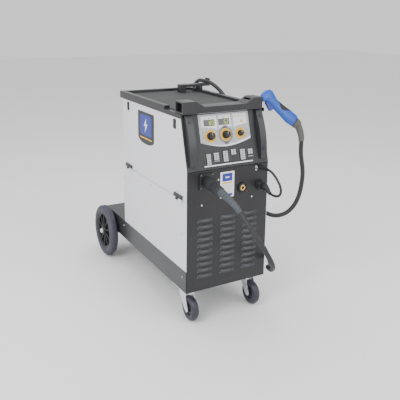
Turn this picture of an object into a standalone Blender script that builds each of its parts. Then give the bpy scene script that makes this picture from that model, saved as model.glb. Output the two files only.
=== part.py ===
"""MIG welder on a cart: a sheet-metal cabinet on two swivel casters and two rear wheels, with a torch.

Everything is modelled in the cabinet's own coordinates, in metres: X to the right seen from the front,
Y to the rear, measured from the front panel's face, and Z up from the floor. One empty carries the
whole object to its origin, which is the middle of its footprint.
"""

import math

import bmesh
import bpy
from mathutils import Matrix, Vector

# Place of the cabinet in the object's own frame
CABINET_X = -0.04995
FRONT_Y = -0.4770

# Cabinet
HALF_WIDTH = 0.200
DEPTH = 0.676
SHEET = 0.002
GAP = 0.0003
BASE_Z = 0.147
SKIRT_TOP = 0.245
PLATFORM_TOP = 0.2438
BREAK_Z = 0.677
SIDE_TOP = 0.884
SLOPE_BACK = 0.056
SEAM_Z = 0.5475
PLATFORM_END = 0.950
CHASSIS_SHEET = 0.003

# Sloped control panel: its angle from the vertical, and how far it runs down and up from the break
SLOPE_ANGLE = math.atan2(SLOPE_BACK, SIDE_TOP - BREAK_Z)
PANEL_ENDS = (-0.003, 0.233)
PANEL_THICK = 0.005

# Top tray and what stands on it
TRAY_BOTTOM = 0.8863
TRAY_FLOOR = 0.903
RAIL_TOP = 0.918
TRAY_FRONT = 0.048
TRAY_NOTCH = 0.0668
TRAY_REAR = 0.706
RAIL_FRONT = 0.200
RAIL_WIDTH = 0.0255
TRAY_HALF = 0.2025
MAT_THICK = 0.003
HOLDER_FRONT = 0.035
HOLDER_REAR = 0.105
HOOK_FRONT = 0.585
HOOK_REAR = 0.625

# Running gear
AXLE_Y = 0.864
WHEEL_RADIUS = 0.136
WHEEL_FACE = 0.258
WHEEL_WIDTH = 0.044
AXLE_RADIUS = 0.010
CASTER_X = 0.157
CASTER_Y = 0.075
CASTER_TRAIL = 0.038
CASTER_RADIUS = 0.055
CASTER_WIDTH = 0.034

# Left door and its hinges and latches
HINGE_X = -0.2065
HINGE_RADIUS = 0.005
HINGE_CENTRES = {"front": 0.069, "rear": 0.600}
HINGE_LENGTH = 0.074
HINGE_LEAF = 0.020
LATCH_CENTRES = {"front": 0.107, "rear": 0.604}
LATCH_TOP = 0.874
LATCH_WINDOW = (0.020, 0.036)

# Front connections
EURO_X, EURO_Z = -0.110, 0.629
DINSE_FREE_X, DINSE_USED_X, DINSE_Z = 0.067, 0.157, 0.577
GLAND_X, GLAND_Z = 0.160, 0.656
LOUVRE_COLUMNS = (-0.1105, 0.0005, 0.1115)
LOUVRE_ROWS = 10
LOUVRE_PITCH = 0.0275
LOUVRE_TOP = 0.457
LOUVRE_SIZE = (0.068, 0.009)

# Controls on the slope: distance across and distance up from the panel's break
KNOBS = {
    "wire_speed_knob": (-0.0725, 0.1330, 0.0170, 0.020),
    "voltage_knob": (0.0005, 0.1335, 0.0170, 0.022),
    "trim_knob": (0.0722, 0.1338, 0.0128, 0.016),
}
BUTTONS = {"mode_button": (0.0515, 0.1830), "test_button": (0.0845, 0.1845)}
BUTTON_RADIUS = 0.0055
DISPLAYS = (-0.0727, -0.0015)
DISPLAY_SIZE = (0.051, 0.025)
DISPLAY_UP = 0.188
OVERLAY_HALF = 0.1215
OVERLAY_ENDS = (0.108, 0.2245)
OVERLAY_BOW = 0.023
GRIP_X = 0.171
GRIP_WIDTH = 0.031
GRIP_ENDS = (0.016, 0.229)
GRIP_RISE = 0.027

# Inside
DIVIDER_X = -0.045
SPOOL_Y, SPOOL_Z = 0.470, 0.700
SPOOL_RADIUS = 0.150
SPOOL_FACES = (-0.162, -0.062)
DRIVE_Y = 0.190
DRIVE_RADIUS = 0.020
PRESS_RADIUS = 0.0150
ROLLER_FACES = (-0.1165, -0.1035)
PIVOT_Y, PIVOT_Z = 0.245, 0.652
FAN_X, FAN_Z = 0.080, 0.400
FAN_RADIUS = 0.082
SWITCH_X, SWITCH_Z = -0.110, 0.800

# Torch and cables
TORCH_HEAD = (0.2205, 0.070, 0.955)
TORCH_PITCH = math.radians(45)
TORCH_ROLL = math.radians(-20)
TRIGGER_PIVOT = (0.022, 0, -0.022)
TORCH_CABLE_DIAMETER = 0.0195
POLARITY_DIAMETER = 0.0105
PLUG_DROOP = math.radians(8)

TORCH_CABLE_ROUTE = [
    (-0.1042, -0.2548, 0.5674), (-0.1028, -0.2719, 0.5572), (-0.0975, -0.3026, 0.5337),
    (-0.0751, -0.3441, 0.4790), (-0.0217, -0.3476, 0.3879), (0.0341, -0.2718, 0.3216),
    (0.0670, -0.2041, 0.2973), (0.1192, -0.1485, 0.2531), (0.1590, -0.1026, 0.2308),
    (0.1912, -0.0551, 0.2225), (0.2191, -0.0032, 0.2246), (0.2424, 0.0571, 0.2372),
    (0.2513, 0.1267, 0.2575), (0.2353, 0.2320, 0.2789), (0.2355, 0.3483, 0.2987),
    (0.2367, 0.4689, 0.3461), (0.2354, 0.5821, 0.4278), (0.2338, 0.6836, 0.5367),
    (0.2315, 0.7552, 0.6556), (0.2239, 0.7791, 0.7776), (0.2210, 0.7450, 0.8840),
    (0.2188, 0.6720, 0.9488), (0.2188, 0.6050, 0.9582), (0.2188, 0.5350, 0.9549),
    (0.2190, 0.4500, 0.9290), (0.2202, 0.3692, 0.8823), (0.2288, 0.2929, 0.8105),
    (0.2324, 0.2225, 0.7104), (0.2216, 0.1716, 0.6056), (0.2147, 0.1271, 0.4890),
    (0.2304, 0.0737, 0.4255), (0.2709, 0.0315, 0.4052), (0.3195, -0.0010, 0.4267),
    (0.3561, -0.0212, 0.4918), (0.3799, -0.0164, 0.5924), (0.3790, 0.0013, 0.6896),
    (0.3788, 0.0028, 0.7446),
]
POLARITY_ROUTE = [
    (0.1600, -0.0470, 0.6560), (0.1602, -0.072, 0.6530), (0.1608, -0.102, 0.6400), (0.1615, -0.134, 0.6130),
    (0.1615, -0.1455, 0.5900), (0.1605, -0.141, 0.5700), (0.1590, -0.124, 0.5590), (0.1575, -0.103, 0.5560),
    (0.1570, -0.0845, 0.5575),
]


def clear_scene():
    for old in list(bpy.data.objects):
        bpy.data.objects.remove(old)


def make_collection(name):
    collection = bpy.data.collections.new(name)
    bpy.context.scene.collection.children.link(collection)
    return collection


clear_scene()
PARTS = make_collection("mig_welder_on_cart")
CUTTERS = make_collection("cutters")
MATERIALS = {}


def finish(name, colour, roughness, metallic=0.0):
    """A plain Principled material, made once for each name."""
    if name not in MATERIALS:
        material = bpy.data.materials.new(name)
        material.use_nodes = True
        shader = material.node_tree.nodes["Principled BSDF"]
        shader.inputs["Base Color"].default_value = (*colour, 1.0)
        shader.inputs["Roughness"].default_value = roughness
        shader.inputs["Metallic"].default_value = metallic
        MATERIALS[name] = material
    return MATERIALS[name]


def white_paint():
    return finish("white_powder_coat", (0.80, 0.80, 0.83), 0.45)


def black_paint():
    return finish("black_powder_coat", (0.020, 0.020, 0.022), 0.50)


def black_plastic():
    return finish("black_moulded_plastic", (0.030, 0.031, 0.034), 0.45)


def grey_plastic():
    return finish("charcoal_moulded_plastic", (0.045, 0.048, 0.053), 0.50)


def rubber():
    return finish("black_rubber", (0.030, 0.030, 0.034), 0.75)


def zinc():
    return finish("zinc_plated_steel", (0.72, 0.73, 0.77), 0.30, 1.0)


def brass():
    return finish("brass", (0.75, 0.55, 0.25), 0.30, 1.0)


def silver_film():
    return finish("silver_front_film", (0.60, 0.61, 0.63), 0.35, 0.3)


def blue_plastic():
    return finish("blue_moulded_plastic", (0.03, 0.12, 0.50), 0.40)


def copper():
    return finish("copper", (0.80, 0.42, 0.25), 0.35, 1.0)


def laminated_steel():
    return finish("laminated_steel", (0.20, 0.20, 0.22), 0.55, 0.8)


def green_board():
    return finish("green_circuit_board", (0.02, 0.18, 0.07), 0.50)


def aluminium():
    return finish("aluminium", (0.70, 0.71, 0.73), 0.35, 1.0)


def gold_plastic():
    return finish("gold_button_plastic", (0.75, 0.50, 0.12), 0.35)


def pale_plastic():
    return finish("white_button_plastic", (0.80, 0.80, 0.78), 0.40)


def make_empty(name, location, rotation=(0, 0, 0), parent=None, order="XYZ"):
    empty = bpy.data.objects.new(name, None)
    PARTS.objects.link(empty)
    empty.rotation_mode = order
    empty.location = location
    empty.rotation_euler = rotation
    empty.parent = parent
    return empty


ORIGIN = make_empty("cabinet_frame", (CABINET_X, FRONT_Y, 0))
SLOPE = make_empty("slope_frame", (0, 0, BREAK_Z), (math.pi / 2 - SLOPE_ANGLE, 0, 0), ORIGIN)
TORCH = make_empty("torch_frame", TORCH_HEAD, (TORCH_ROLL, TORCH_PITCH, 0), ORIGIN, "ZYX")

AXES = {"X": (0, math.pi / 2, 0), "Y": (-math.pi / 2, 0, 0), "Z": (0, 0, 0)}


def place(obj, name, material, location, rotation=(0, 0, 0), parent=None):
    """Names an object, gives it its finish and puts it in the parts collection under its frame."""
    obj.name = name
    obj.data.name = name
    for collection in list(obj.users_collection):
        collection.objects.unlink(obj)
    PARTS.objects.link(obj)
    obj.location = location
    obj.rotation_euler = rotation
    obj.parent = parent or ORIGIN
    if material:
        obj.data.materials.clear()
        obj.data.materials.append(material)
    return obj


def smooth(obj, angle=35):
    obj.data.shade_smooth()
    obj.data.set_sharp_from_angle(angle=math.radians(angle))
    return obj


def box(name, material, low, high, parent=None, rotation=(0, 0, 0), bevel=0.0):
    """A box between two corners, with its origin in its middle."""
    low, high = Vector(low), Vector(high)
    bpy.ops.mesh.primitive_cube_add(size=1)
    obj = bpy.context.active_object
    obj.data.transform(Matrix.Diagonal((*(high - low), 1)))
    place(obj, name, material, (low + high) / 2, rotation, parent)
    if bevel:
        edge = obj.modifiers.new("edges", "BEVEL")
        edge.width = bevel
        edge.segments = 2
    return obj


def rod(name, material, radius, start, end, parent=None, axis="Z", centre=(0, 0), segments=24):
    """A cylinder along one axis, from start to end, around a centre given by the other two coordinates."""
    bpy.ops.mesh.primitive_cylinder_add(vertices=segments, radius=radius, depth=abs(end - start))
    middle = (start + end) / 2
    spot = {"X": (middle, *centre), "Y": (centre[0], middle, centre[1]), "Z": (*centre, middle)}[axis]
    return smooth(place(bpy.context.active_object, name, material, spot, AXES[axis], parent))


def turned(name, material, profile, location, axis="Z", parent=None, steps=32, rotation=None):
    """A turned piece. The profile's (radius, height) points run from the top of its outer side downward."""
    mesh = bpy.data.meshes.new(name)
    points = [(radius, 0, height) for radius, height in profile]
    if profile[0][0] > 0:
        edges = [(i, (i + 1) % len(points)) for i in range(len(points))]
    else:
        edges = [(i, i + 1) for i in range(len(points) - 1)]
    mesh.from_pydata(points, edges, [])
    obj = place(bpy.data.objects.new(name, mesh), name, material, location, rotation or AXES[axis], parent)
    screw = obj.modifiers.new("turn", "SCREW")
    screw.steps = steps
    screw.render_steps = steps
    screw.use_merge_vertices = True
    screw.merge_threshold = 0.00001
    return obj


def as_mesh(obj):
    """The evaluated object as a plain mesh object in the same place, with its caps welded."""
    bpy.context.view_layer.update()
    mesh = bpy.data.meshes.new_from_object(obj.evaluated_get(bpy.context.evaluated_depsgraph_get()))

    work = bmesh.new()
    work.from_mesh(mesh)
    bmesh.ops.remove_doubles(work, verts=work.verts, dist=0.00001)
    work.to_mesh(mesh)
    work.free()
    solid = bpy.data.objects.new(obj.name, mesh)
    PARTS.objects.link(solid)
    solid.parent = obj.parent
    solid.rotation_mode = obj.rotation_mode
    solid.location = obj.location
    solid.rotation_euler = obj.rotation_euler
    name = obj.name
    bpy.data.objects.remove(obj)
    solid.name = name
    return solid


def ring_points(radius, count=24, centre=(0, 0)):
    turns = [math.tau * i / count for i in range(count)]
    return [(centre[0] + radius * math.cos(t), centre[1] + radius * math.sin(t)) for t in turns]


def block_points(width, height, centre=(0, 0)):
    x, y = centre
    return [(x + a * width / 2, y + b * height / 2) for a, b in ((-1, -1), (1, -1), (1, 1), (-1, 1))]


def plate(name, material, outlines, thickness, location, rotation=(0, 0, 0), parent=None):
    """A flat piece cut from sheet: the first outline is its edge and the others are its holes."""
    curve = bpy.data.curves.new(name, "CURVE")
    curve.dimensions = "2D"
    curve.fill_mode = "BOTH"
    curve.extrude = thickness / 2
    for outline in outlines:
        spline = curve.splines.new("POLY")
        spline.points.add(len(outline) - 1)
        spline.use_cyclic_u = True
        for point, (x, y) in zip(spline.points, outline):
            point.co = (x, y, 0, 1)
    obj = place(bpy.data.objects.new(name, curve), name, material, location, rotation, parent)
    return as_mesh(obj)


FACING_FRONT = (math.pi / 2, 0, 0)
FACING_SIDE = (math.pi / 2, 0, math.pi / 2)


def smooth_line(points, spacing):
    """Points at even spacing along a smooth curve through the given points."""
    dense = []
    ends = [2 * Vector(points[0]) - Vector(points[1]), 2 * Vector(points[-1]) - Vector(points[-2])]
    knots = [ends[0], *map(Vector, points), ends[1]]
    for a, b, c, d in zip(knots, knots[1:], knots[2:], knots[3:]):
        for k in range(20):
            t = k / 20
            bent = 2 * b + (c - a) * t + (2 * a - 5 * b + 4 * c - d) * t**2 + (3 * b - a - 3 * c + d) * t**3
            dense.append(bent / 2)
    dense.append(Vector(points[-1]))
    travelled = [0.0]
    for a, b in zip(dense, dense[1:]):
        travelled.append(travelled[-1] + (b - a).length)
    count = max(2, round(travelled[-1] / spacing))
    even = []
    at = 0
    for k in range(count + 1):
        target = travelled[-1] * k / count
        while at < len(dense) - 2 and travelled[at + 1] < target:
            at += 1
        share = (target - travelled[at]) / (travelled[at + 1] - travelled[at])
        even.append(dense[at].lerp(dense[at + 1], min(1.0, share)))
    return even


def tube(name, material, points, radius, radii=None, parent=None, resolution=2):
    """A round tube through the points. radii scales the radius at each point."""
    curve = bpy.data.curves.new(name, "CURVE")
    curve.dimensions = "3D"
    curve.bevel_depth = radius
    curve.bevel_resolution = resolution
    curve.use_fill_caps = True
    spline = curve.splines.new("POLY")
    spline.points.add(len(points) - 1)
    spline.use_smooth = True
    for i, (point, spot) in enumerate(zip(spline.points, points)):
        point.co = (*spot, 1)
        point.radius = radii[i] if radii else 1.0
    return place(bpy.data.objects.new(name, curve), name, material, (0, 0, 0), (0, 0, 0), parent)


def combine(part, tool, operation):
    """Cuts the part with the tool, or joins the tool to it, with a Boolean."""
    for collection in list(tool.users_collection):
        collection.objects.unlink(tool)
    CUTTERS.objects.link(tool)
    tool.hide_render = True
    tool.display_type = "WIRE"
    modifier = part.modifiers.new(tool.name, "BOOLEAN")
    modifier.operation = operation
    modifier.solver = "EXACT"
    modifier.object = tool
    return part


def cut(part, tool):
    return combine(part, tool, "DIFFERENCE")


def join(part, tool):
    return combine(part, tool, "UNION")


# ---------------------------------------------------------------- chassis and cabinet

def side_outline(bottom, top, inset=0.0):
    """The cabinet's side seen from the left, with the slope at its upper front."""
    front_at_top = SLOPE_BACK * (top - BREAK_Z) / (SIDE_TOP - BREAK_Z)
    outline = [(DEPTH - inset, bottom), (DEPTH - inset, top)]
    if top > BREAK_Z:
        outline += [(front_at_top + inset, top), (inset, BREAK_Z)]
    else:
        outline += [(inset, top)]
    return outline + [(inset, bottom)]


def base_chassis():
    """The folded base: a pan under the cabinet and a flat platform for the gas bottle behind it."""
    side, sheet = HALF_WIDTH, CHASSIS_SHEET
    body = box("base_chassis", black_paint(), (-side, SHEET + GAP, BASE_Z), (side, PLATFORM_END, SKIRT_TOP))
    inner = side - sheet
    cut(body, box("pan_hollow", None, (-inner, SHEET + sheet, BASE_Z + sheet), (inner, DEPTH - sheet, 0.3)))
    cut(body, box("platform_step", None, (-0.3, DEPTH + GAP, PLATFORM_TOP), (0.3, 1, 0.3)))
    cut(body, box("platform_hollow", None, (-inner, DEPTH + sheet, 0.1), (inner, PLATFORM_END - sheet,
                                                                          PLATFORM_TOP - sheet)))
    for x in (-0.165, 0.165):
        join(body, box("axle_bracket", None, (x - 0.012, AXLE_Y - 0.025, WHEEL_RADIUS - 0.020),
                       (x + 0.012, AXLE_Y + 0.025, PLATFORM_TOP - sheet / 2)))
    cut(body, rod("axle_bore", None, AXLE_RADIUS + GAP, -0.3, 0.3, axis="X", centre=(AXLE_Y, WHEEL_RADIUS)))


def lower_front_panel():
    """The black front sheet, with its rows of ventilation slots and the holes of the connectors."""
    half, top = HALF_WIDTH - SHEET - GAP, BREAK_Z - 0.005
    middle = (BASE_Z + top) / 2
    outlines = [block_points(2 * half, top - BASE_Z)]
    for x in LOUVRE_COLUMNS:
        for row in range(LOUVRE_ROWS):
            z = LOUVRE_TOP - row * LOUVRE_PITCH - middle
            outlines.append(block_points(*LOUVRE_SIZE, (x, z)))
    outlines.append(ring_points(0.0185, 20, (EURO_X, EURO_Z - middle)))
    for x in (DINSE_FREE_X, DINSE_USED_X):
        outlines.append(ring_points(0.0125, 16, (x, DINSE_Z - middle)))
    outlines.append(ring_points(0.0075, 12, (GLAND_X, GLAND_Z - middle)))
    plate("lower_front_panel", black_paint(), outlines, SHEET, (0, SHEET / 2, middle), FACING_FRONT)


def upper_front_panel():
    """The moulded sloped panel that carries the controls."""
    half = HALF_WIDTH - SHEET - GAP
    bottom, top = PANEL_ENDS
    outlines = [block_points(2 * half, top - bottom, (0, (top + bottom) / 2))]
    for x in DISPLAYS:
        outlines.append(block_points(*DISPLAY_SIZE, (x, DISPLAY_UP)))
    for x, up, *_ in KNOBS.values():
        outlines.append(ring_points(0.0045, 12, (x, up)))
    for x, up in BUTTONS.values():
        outlines.append(ring_points(BUTTON_RADIUS + GAP, 16, (x, up)))
    plate("upper_front_panel", grey_plastic(), outlines, PANEL_THICK, (0, 0, -PANEL_THICK / 2), parent=SLOPE)


def control_overlay():
    """The silver front film's carrier plate, with a bowed lower edge."""
    half, (low, top), steps = OVERLAY_HALF, OVERLAY_ENDS, 12
    arc = [(half * (2 * i / steps - 1), low - OVERLAY_BOW * math.cos(math.pi / 2 * (2 * i / steps - 1)))
           for i in range(steps + 1)]
    outlines = [arc + [(half, top), (-half, top)]]
    for x in DISPLAYS:
        outlines.append(block_points(*DISPLAY_SIZE, (x, DISPLAY_UP)))
    for x, up, *_ in KNOBS.values():
        outlines.append(ring_points(0.0045, 12, (x, up)))
    for x, up in BUTTONS.values():
        outlines.append(ring_points(BUTTON_RADIUS + GAP, 16, (x, up)))
    plate("control_overlay", silver_film(), outlines, 0.001, (0, 0, GAP + 0.0005), parent=SLOPE)


def side_panel(name, material, x, bottom, top, holes=()):
    """A flat painted side sheet, with its front edge following the slope."""
    outlines = [side_outline(bottom, top), *holes]
    return plate(name, material, outlines, SHEET, (x, 0, 0), FACING_SIDE)


def hinge_section(inner, up):
    """One hinge leaf with its barrel, seen along the hinge axis. up is 1 for the door's leaf, -1 for the fixed one."""
    turns = [math.radians(-45 + 310 * i / 12) for i in range(13)]
    barrel = [(HINGE_RADIUS * math.cos(t), HINGE_RADIUS * math.sin(t)) for t in turns]
    leaf = [(0.0004, -0.0105), (0.0004, -HINGE_LEAF), (inner, -HINGE_LEAF), (inner, -0.0056), (0.0038, -0.0056)]
    return [(x, -up * z) for x, z in leaf + barrel]


def hinge_leaf(name, material, y, inner, up):
    """A leaf as long as the hinge, with the stretches of its barrel that belong to the other leaf cut away."""
    half, third, clear = HINGE_LENGTH / 2, HINGE_LENGTH / 6, 0.0003
    leaf = plate(name, material, [hinge_section(inner, up)], HINGE_LENGTH, (HINGE_X, y, SEAM_Z), FACING_FRONT)
    spans = [(-third, third)] if up < 0 else [(-half - 0.001, -third + clear), (third - clear, half + 0.001)]
    low, high = sorted((SEAM_Z - up * 0.0070, SEAM_Z + up * 0.0053))
    for i, (a, b) in enumerate(spans):
        cut(leaf, box(f"{name}_clearance_{i}", None, (HINGE_X - 0.0070, y + a, low), (HINGE_X + 0.0060, y + b, high)))
    return leaf


def left_side():
    """The fixed lower side sheet, the drop-down door above it, and the door's two hinges."""
    half = HALF_WIDTH - SHEET / 2
    lower = side_panel("left_lower_panel", white_paint(), -half, SKIRT_TOP + GAP, SEAM_Z - 0.0008)
    windows = [block_points(*LATCH_WINDOW, (y, LATCH_TOP - LATCH_WINDOW[1] / 2)) for y in LATCH_CENTRES.values()]
    side_panel("left_door", white_paint(), -half, SEAM_Z + 0.0010, SIDE_TOP, windows)
    for end, y in HINGE_CENTRES.items():
        join(lower, as_mesh(hinge_leaf(f"fixed_leaf_{end}", None, y, -half - HINGE_X, -1)))
        hinge_leaf(f"door_hinge_{end}", black_plastic(), y, -HALF_WIDTH - GAP - HINGE_X, 1)


def latches():
    """Two slides at the door's top edge, which drop to free it."""
    width, height = LATCH_WINDOW[0] - 2 * GAP, LATCH_WINDOW[1] - 0.008
    for end, y in LATCH_CENTRES.items():
        top = LATCH_TOP - GAP
        box(f"latch_slide_{end}", black_plastic(), (-HALF_WIDTH - 0.0030, y - width / 2, top - height),
            (-HALF_WIDTH + 0.0080, y + width / 2, top))


def rear_panel():
    """The rear sheet, with the fan's air slots and the fan's motor mount on its inner face."""
    half, bottom = HALF_WIDTH - SHEET - GAP, SKIRT_TOP + GAP
    middle = (bottom + SIDE_TOP) / 2
    outlines = [block_points(2 * half, SIDE_TOP - bottom)]
    pitch, count = 0.016, 5
    for row in range(-count, count + 1):
        reach = math.sqrt(0.098**2 - (row * pitch)**2)
        start = 0.030 if abs(row) < 2 else 0.004
        for side in (-1, 1):
            centre = (-(FAN_X + side * (start + reach) / 2), FAN_Z + row * pitch - middle)
            outlines.append(block_points(reach - start, 0.007, centre))
    outlines.append(ring_points(0.011, 16, (-SWITCH_X, SWITCH_Z - middle)))
    outlines.append(ring_points(0.008, 16, (0.110, 0.430 - middle)))
    panel = plate("rear_panel", black_paint(), outlines, SHEET, (0, DEPTH - SHEET / 2, middle),
                  (math.pi / 2, 0, math.pi))
    join(panel, rod("fan_motor", None, 0.024, 0.640, DEPTH - SHEET / 2, axis="Y", centre=(FAN_X, FAN_Z)))
    join(panel, box("mains_cable_inlet", None, (-0.172, DEPTH - SHEET / 2, 0.290), (-0.140, DEPTH + 0.014, 0.322)))


def right_side_panel():
    side_panel("right_side_panel", white_paint(), HALF_WIDTH - SHEET / 2, SKIRT_TOP + GAP, SIDE_TOP)


# ---------------------------------------------------------------- top

def top_tray():
    """The folded top: a shallow tray with raised rails at its sides and rear."""
    rails = TRAY_HALF - RAIL_WIDTH
    body = box("top_tray", black_paint(), (-TRAY_HALF, TRAY_FRONT, TRAY_BOTTOM), (TRAY_HALF, TRAY_REAR, RAIL_TOP))
    cut(body, box("tray_recess", None, (-rails, 0, TRAY_FLOOR), (rails, TRAY_REAR - RAIL_WIDTH, 1)))
    cut(body, box("tray_front_recess", None, (-0.3, 0, TRAY_FLOOR), (0.3, RAIL_FRONT, 1)))
    cut(body, box("panel_notch", None, (-HALF_WIDTH + SHEET, 0, 0.88), (HALF_WIDTH - SHEET, TRAY_NOTCH, 0.91)))
    cut(body, box("tray_underside", None, (-rails, TRAY_NOTCH + 0.004, 0.88),
                  (rails, TRAY_REAR - RAIL_WIDTH, TRAY_FLOOR - 0.003)))
    box("tray_mat", rubber(), (-rails + 0.001, 0.122, TRAY_FLOOR + GAP),
        (rails - 0.001, TRAY_REAR - RAIL_WIDTH - 0.001, TRAY_FLOOR + MAT_THICK))


def torch_holder():
    """The bar across the front of the tray. Each raised end is a holster that takes a torch neck."""
    low, high = TRAY_FLOOR + GAP, 0.929
    top, inner, outer, left_end, right_end = 0.953, 0.100, 0.140, 0.2005, 0.183
    outline = [(-left_end, low), (right_end, low), (right_end, top), (outer, top), (inner, high)]
    outline += [(-inner, high), (-outer, top), (-left_end, top)]
    middle = (HOLDER_FRONT + HOLDER_REAR) / 2
    body = plate("torch_holder", black_plastic(), [outline], HOLDER_REAR - HOLDER_FRONT,
                 (0, middle, 0), FACING_FRONT)
    front, back = HOLDER_FRONT + 0.010, HOLDER_REAR - 0.010
    for side in (-1, 1):
        near, far = sorted((side * 0.122, side * 0.210))
        cut(body, box("holster", None, (near, front, 0.911), (far, back, 0.947)))


def cable_hook():
    """The bracket at the right rear of the tray over which the torch cable hangs."""
    foot, rail = TRAY_FLOOR + MAT_THICK + GAP, RAIL_TOP + GAP
    bar, top, tip = 0.934, 0.946, 0.972
    outline = [(0.075, foot), (0.105, foot), (0.105, bar), (0.180, bar), (0.180, rail), (0.200, rail),
               (0.200, bar), (0.2425, bar), (0.2425, tip), (0.2365, tip), (0.2365, top), (0.075, top)]
    plate("cable_hook", black_paint(), [outline], HOOK_REAR - HOOK_FRONT,
          (0, (HOOK_FRONT + HOOK_REAR) / 2, 0), FACING_FRONT)


# ---------------------------------------------------------------- front: grips, controls, connectors

def grip_bar(name, side):
    """A bowed moulded bar along the edge of the sloped panel."""
    low, high = GRIP_ENDS
    steps = 12
    bow = []
    for i in range(steps + 1):
        along = i / steps
        rise = 0.010 + (GRIP_RISE - 0.010) * math.sin(math.pi * along) ** 0.8
        bow.append((low + (high - low) * along, rise))
    outline = [(low, GAP)] + bow + [(high, GAP)]
    bar = plate(name, grey_plastic(), [outline], GRIP_WIDTH, (side * GRIP_X, 0, 0),
                (math.pi / 2, 0, math.pi / 2), SLOPE)
    edge = bar.modifiers.new("edges", "BEVEL")
    edge.width = 0.005
    edge.segments = 2
    edge.limit_method = "ANGLE"
    edge.angle_limit = math.radians(50)


def knobs():
    """Three rotary knobs, each with its shaft through the panel."""
    for name, (x, up, radius, height) in KNOBS.items():
        base = 0.0016
        profile = [(0, base + height), (radius * 0.86, base + height), (radius, base + height - 0.002),
                   (radius * 1.04, base + 0.002), (radius * 1.04, base), (0.0030, base), (0.0030, -0.012),
                   (0, -0.012)]
        smooth(turned(name, black_plastic(), profile, (x, up, 0), "Z", SLOPE, 16))


def buttons():
    for (name, (x, up)), material in zip(BUTTONS.items(), (pale_plastic(), gold_plastic())):
        rod(name, material, BUTTON_RADIUS, -0.004, 0.0045, SLOPE, "Z", (x, up), 16)


def euro_socket():
    """The square flange and the barrel of the torch connector on the machine."""
    body = box("euro_socket", black_plastic(), (EURO_X - 0.033, -0.0075, EURO_Z - 0.033),
               (EURO_X + 0.033, -GAP, EURO_Z + 0.033), bevel=0.002)
    join(body, rod("euro_barrel", None, 0.0180, -0.0120, 0.060, axis="Y", centre=(EURO_X, EURO_Z)))


def dinse_socket(name, x):
    """A bayonet socket for the earth or polarity lead: a round insulator with a bored brass core."""
    profile = [(0.0210, 0.0090), (0.0225, 0.0003), (0.0120, 0.0003), (0.0120, -0.030), (0.0060, -0.030),
               (0.0060, 0.0090)]
    smooth(turned(name, black_plastic(), profile, (x, 0, DINSE_Z), "Y", None, 16, (math.pi / 2, 0, 0)))


def polarity_gland():
    """The tapered grommet that the short polarity lead comes out of."""
    profile = [(0, 0.0460), (0.0070, 0.0460), (0.0085, 0.0300), (0.0110, 0.0060), (0.0120, 0.0003),
               (0.0070, 0.0003), (0.0070, -0.008), (0, -0.008)]
    smooth(turned("polarity_gland", rubber(), profile, (GLAND_X, 0, GLAND_Z), "Y", None, 16, (math.pi / 2, 0, 0)))


def dinse_plug():
    """The plug on the polarity lead: its pin in the socket, its grip, and a soft sleeve that bends down to the lead."""
    profile = [(0, 0.0480), (0.0150, 0.0480), (0.0150, 0.0200), (0.0165, 0.0180), (0.0165, 0.0093), (0.0055, 0.0093),
               (0.0055, -0.015), (0, -0.015)]
    body = smooth(turned("dinse_plug", black_plastic(), profile, (DINSE_USED_X, 0, DINSE_Z), "Y", None, 16,
                         (math.pi / 2, 0, 0)))
    spots = [(DINSE_USED_X, -0.0400, 0.5770), (DINSE_USED_X, -0.0500, 0.5755), (DINSE_USED_X, -0.0620, 0.5690),
             (DINSE_USED_X, -0.0720, 0.5610), (DINSE_USED_X, -0.0820, 0.5580)]
    widths = [1.0, 0.98, 0.80, 0.66, 0.58]
    join(body, as_mesh(tube("plug_sleeve", None, spots, 0.0130, widths, resolution=3)))


def euro_plug():
    """The torch's connector: a knurled nut, a body and a tapered boot that droops a little."""
    profile = [(0, 0.105), (0.0185, 0.105), (0.0205, 0.095), (0.0215, 0.060), (0.0215, 0.040), (0.0245, 0.038),
               (0.0245, 0.004), (0.0225, 0.0), (0, 0.0)]
    start = (EURO_X, -0.0160, EURO_Z - 0.001)
    turn = (math.pi / 2 + PLUG_DROOP, 0, 0)
    body = smooth(turned("euro_plug", black_plastic(), profile, start, "Y", None, 16, turn))
    spots = [(EURO_X, -0.112, 0.6150), (EURO_X, -0.150, 0.6090), (EURO_X + 0.001, -0.188, 0.6000),
             (EURO_X + 0.003, -0.222, 0.5870), (-0.1046, -0.2508, 0.5698)]
    widths = [1.0, 0.94, 0.84, 0.74, 0.64]
    join(body, as_mesh(tube("plug_boot", None, spots, 0.0180, widths, resolution=3)))


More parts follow.
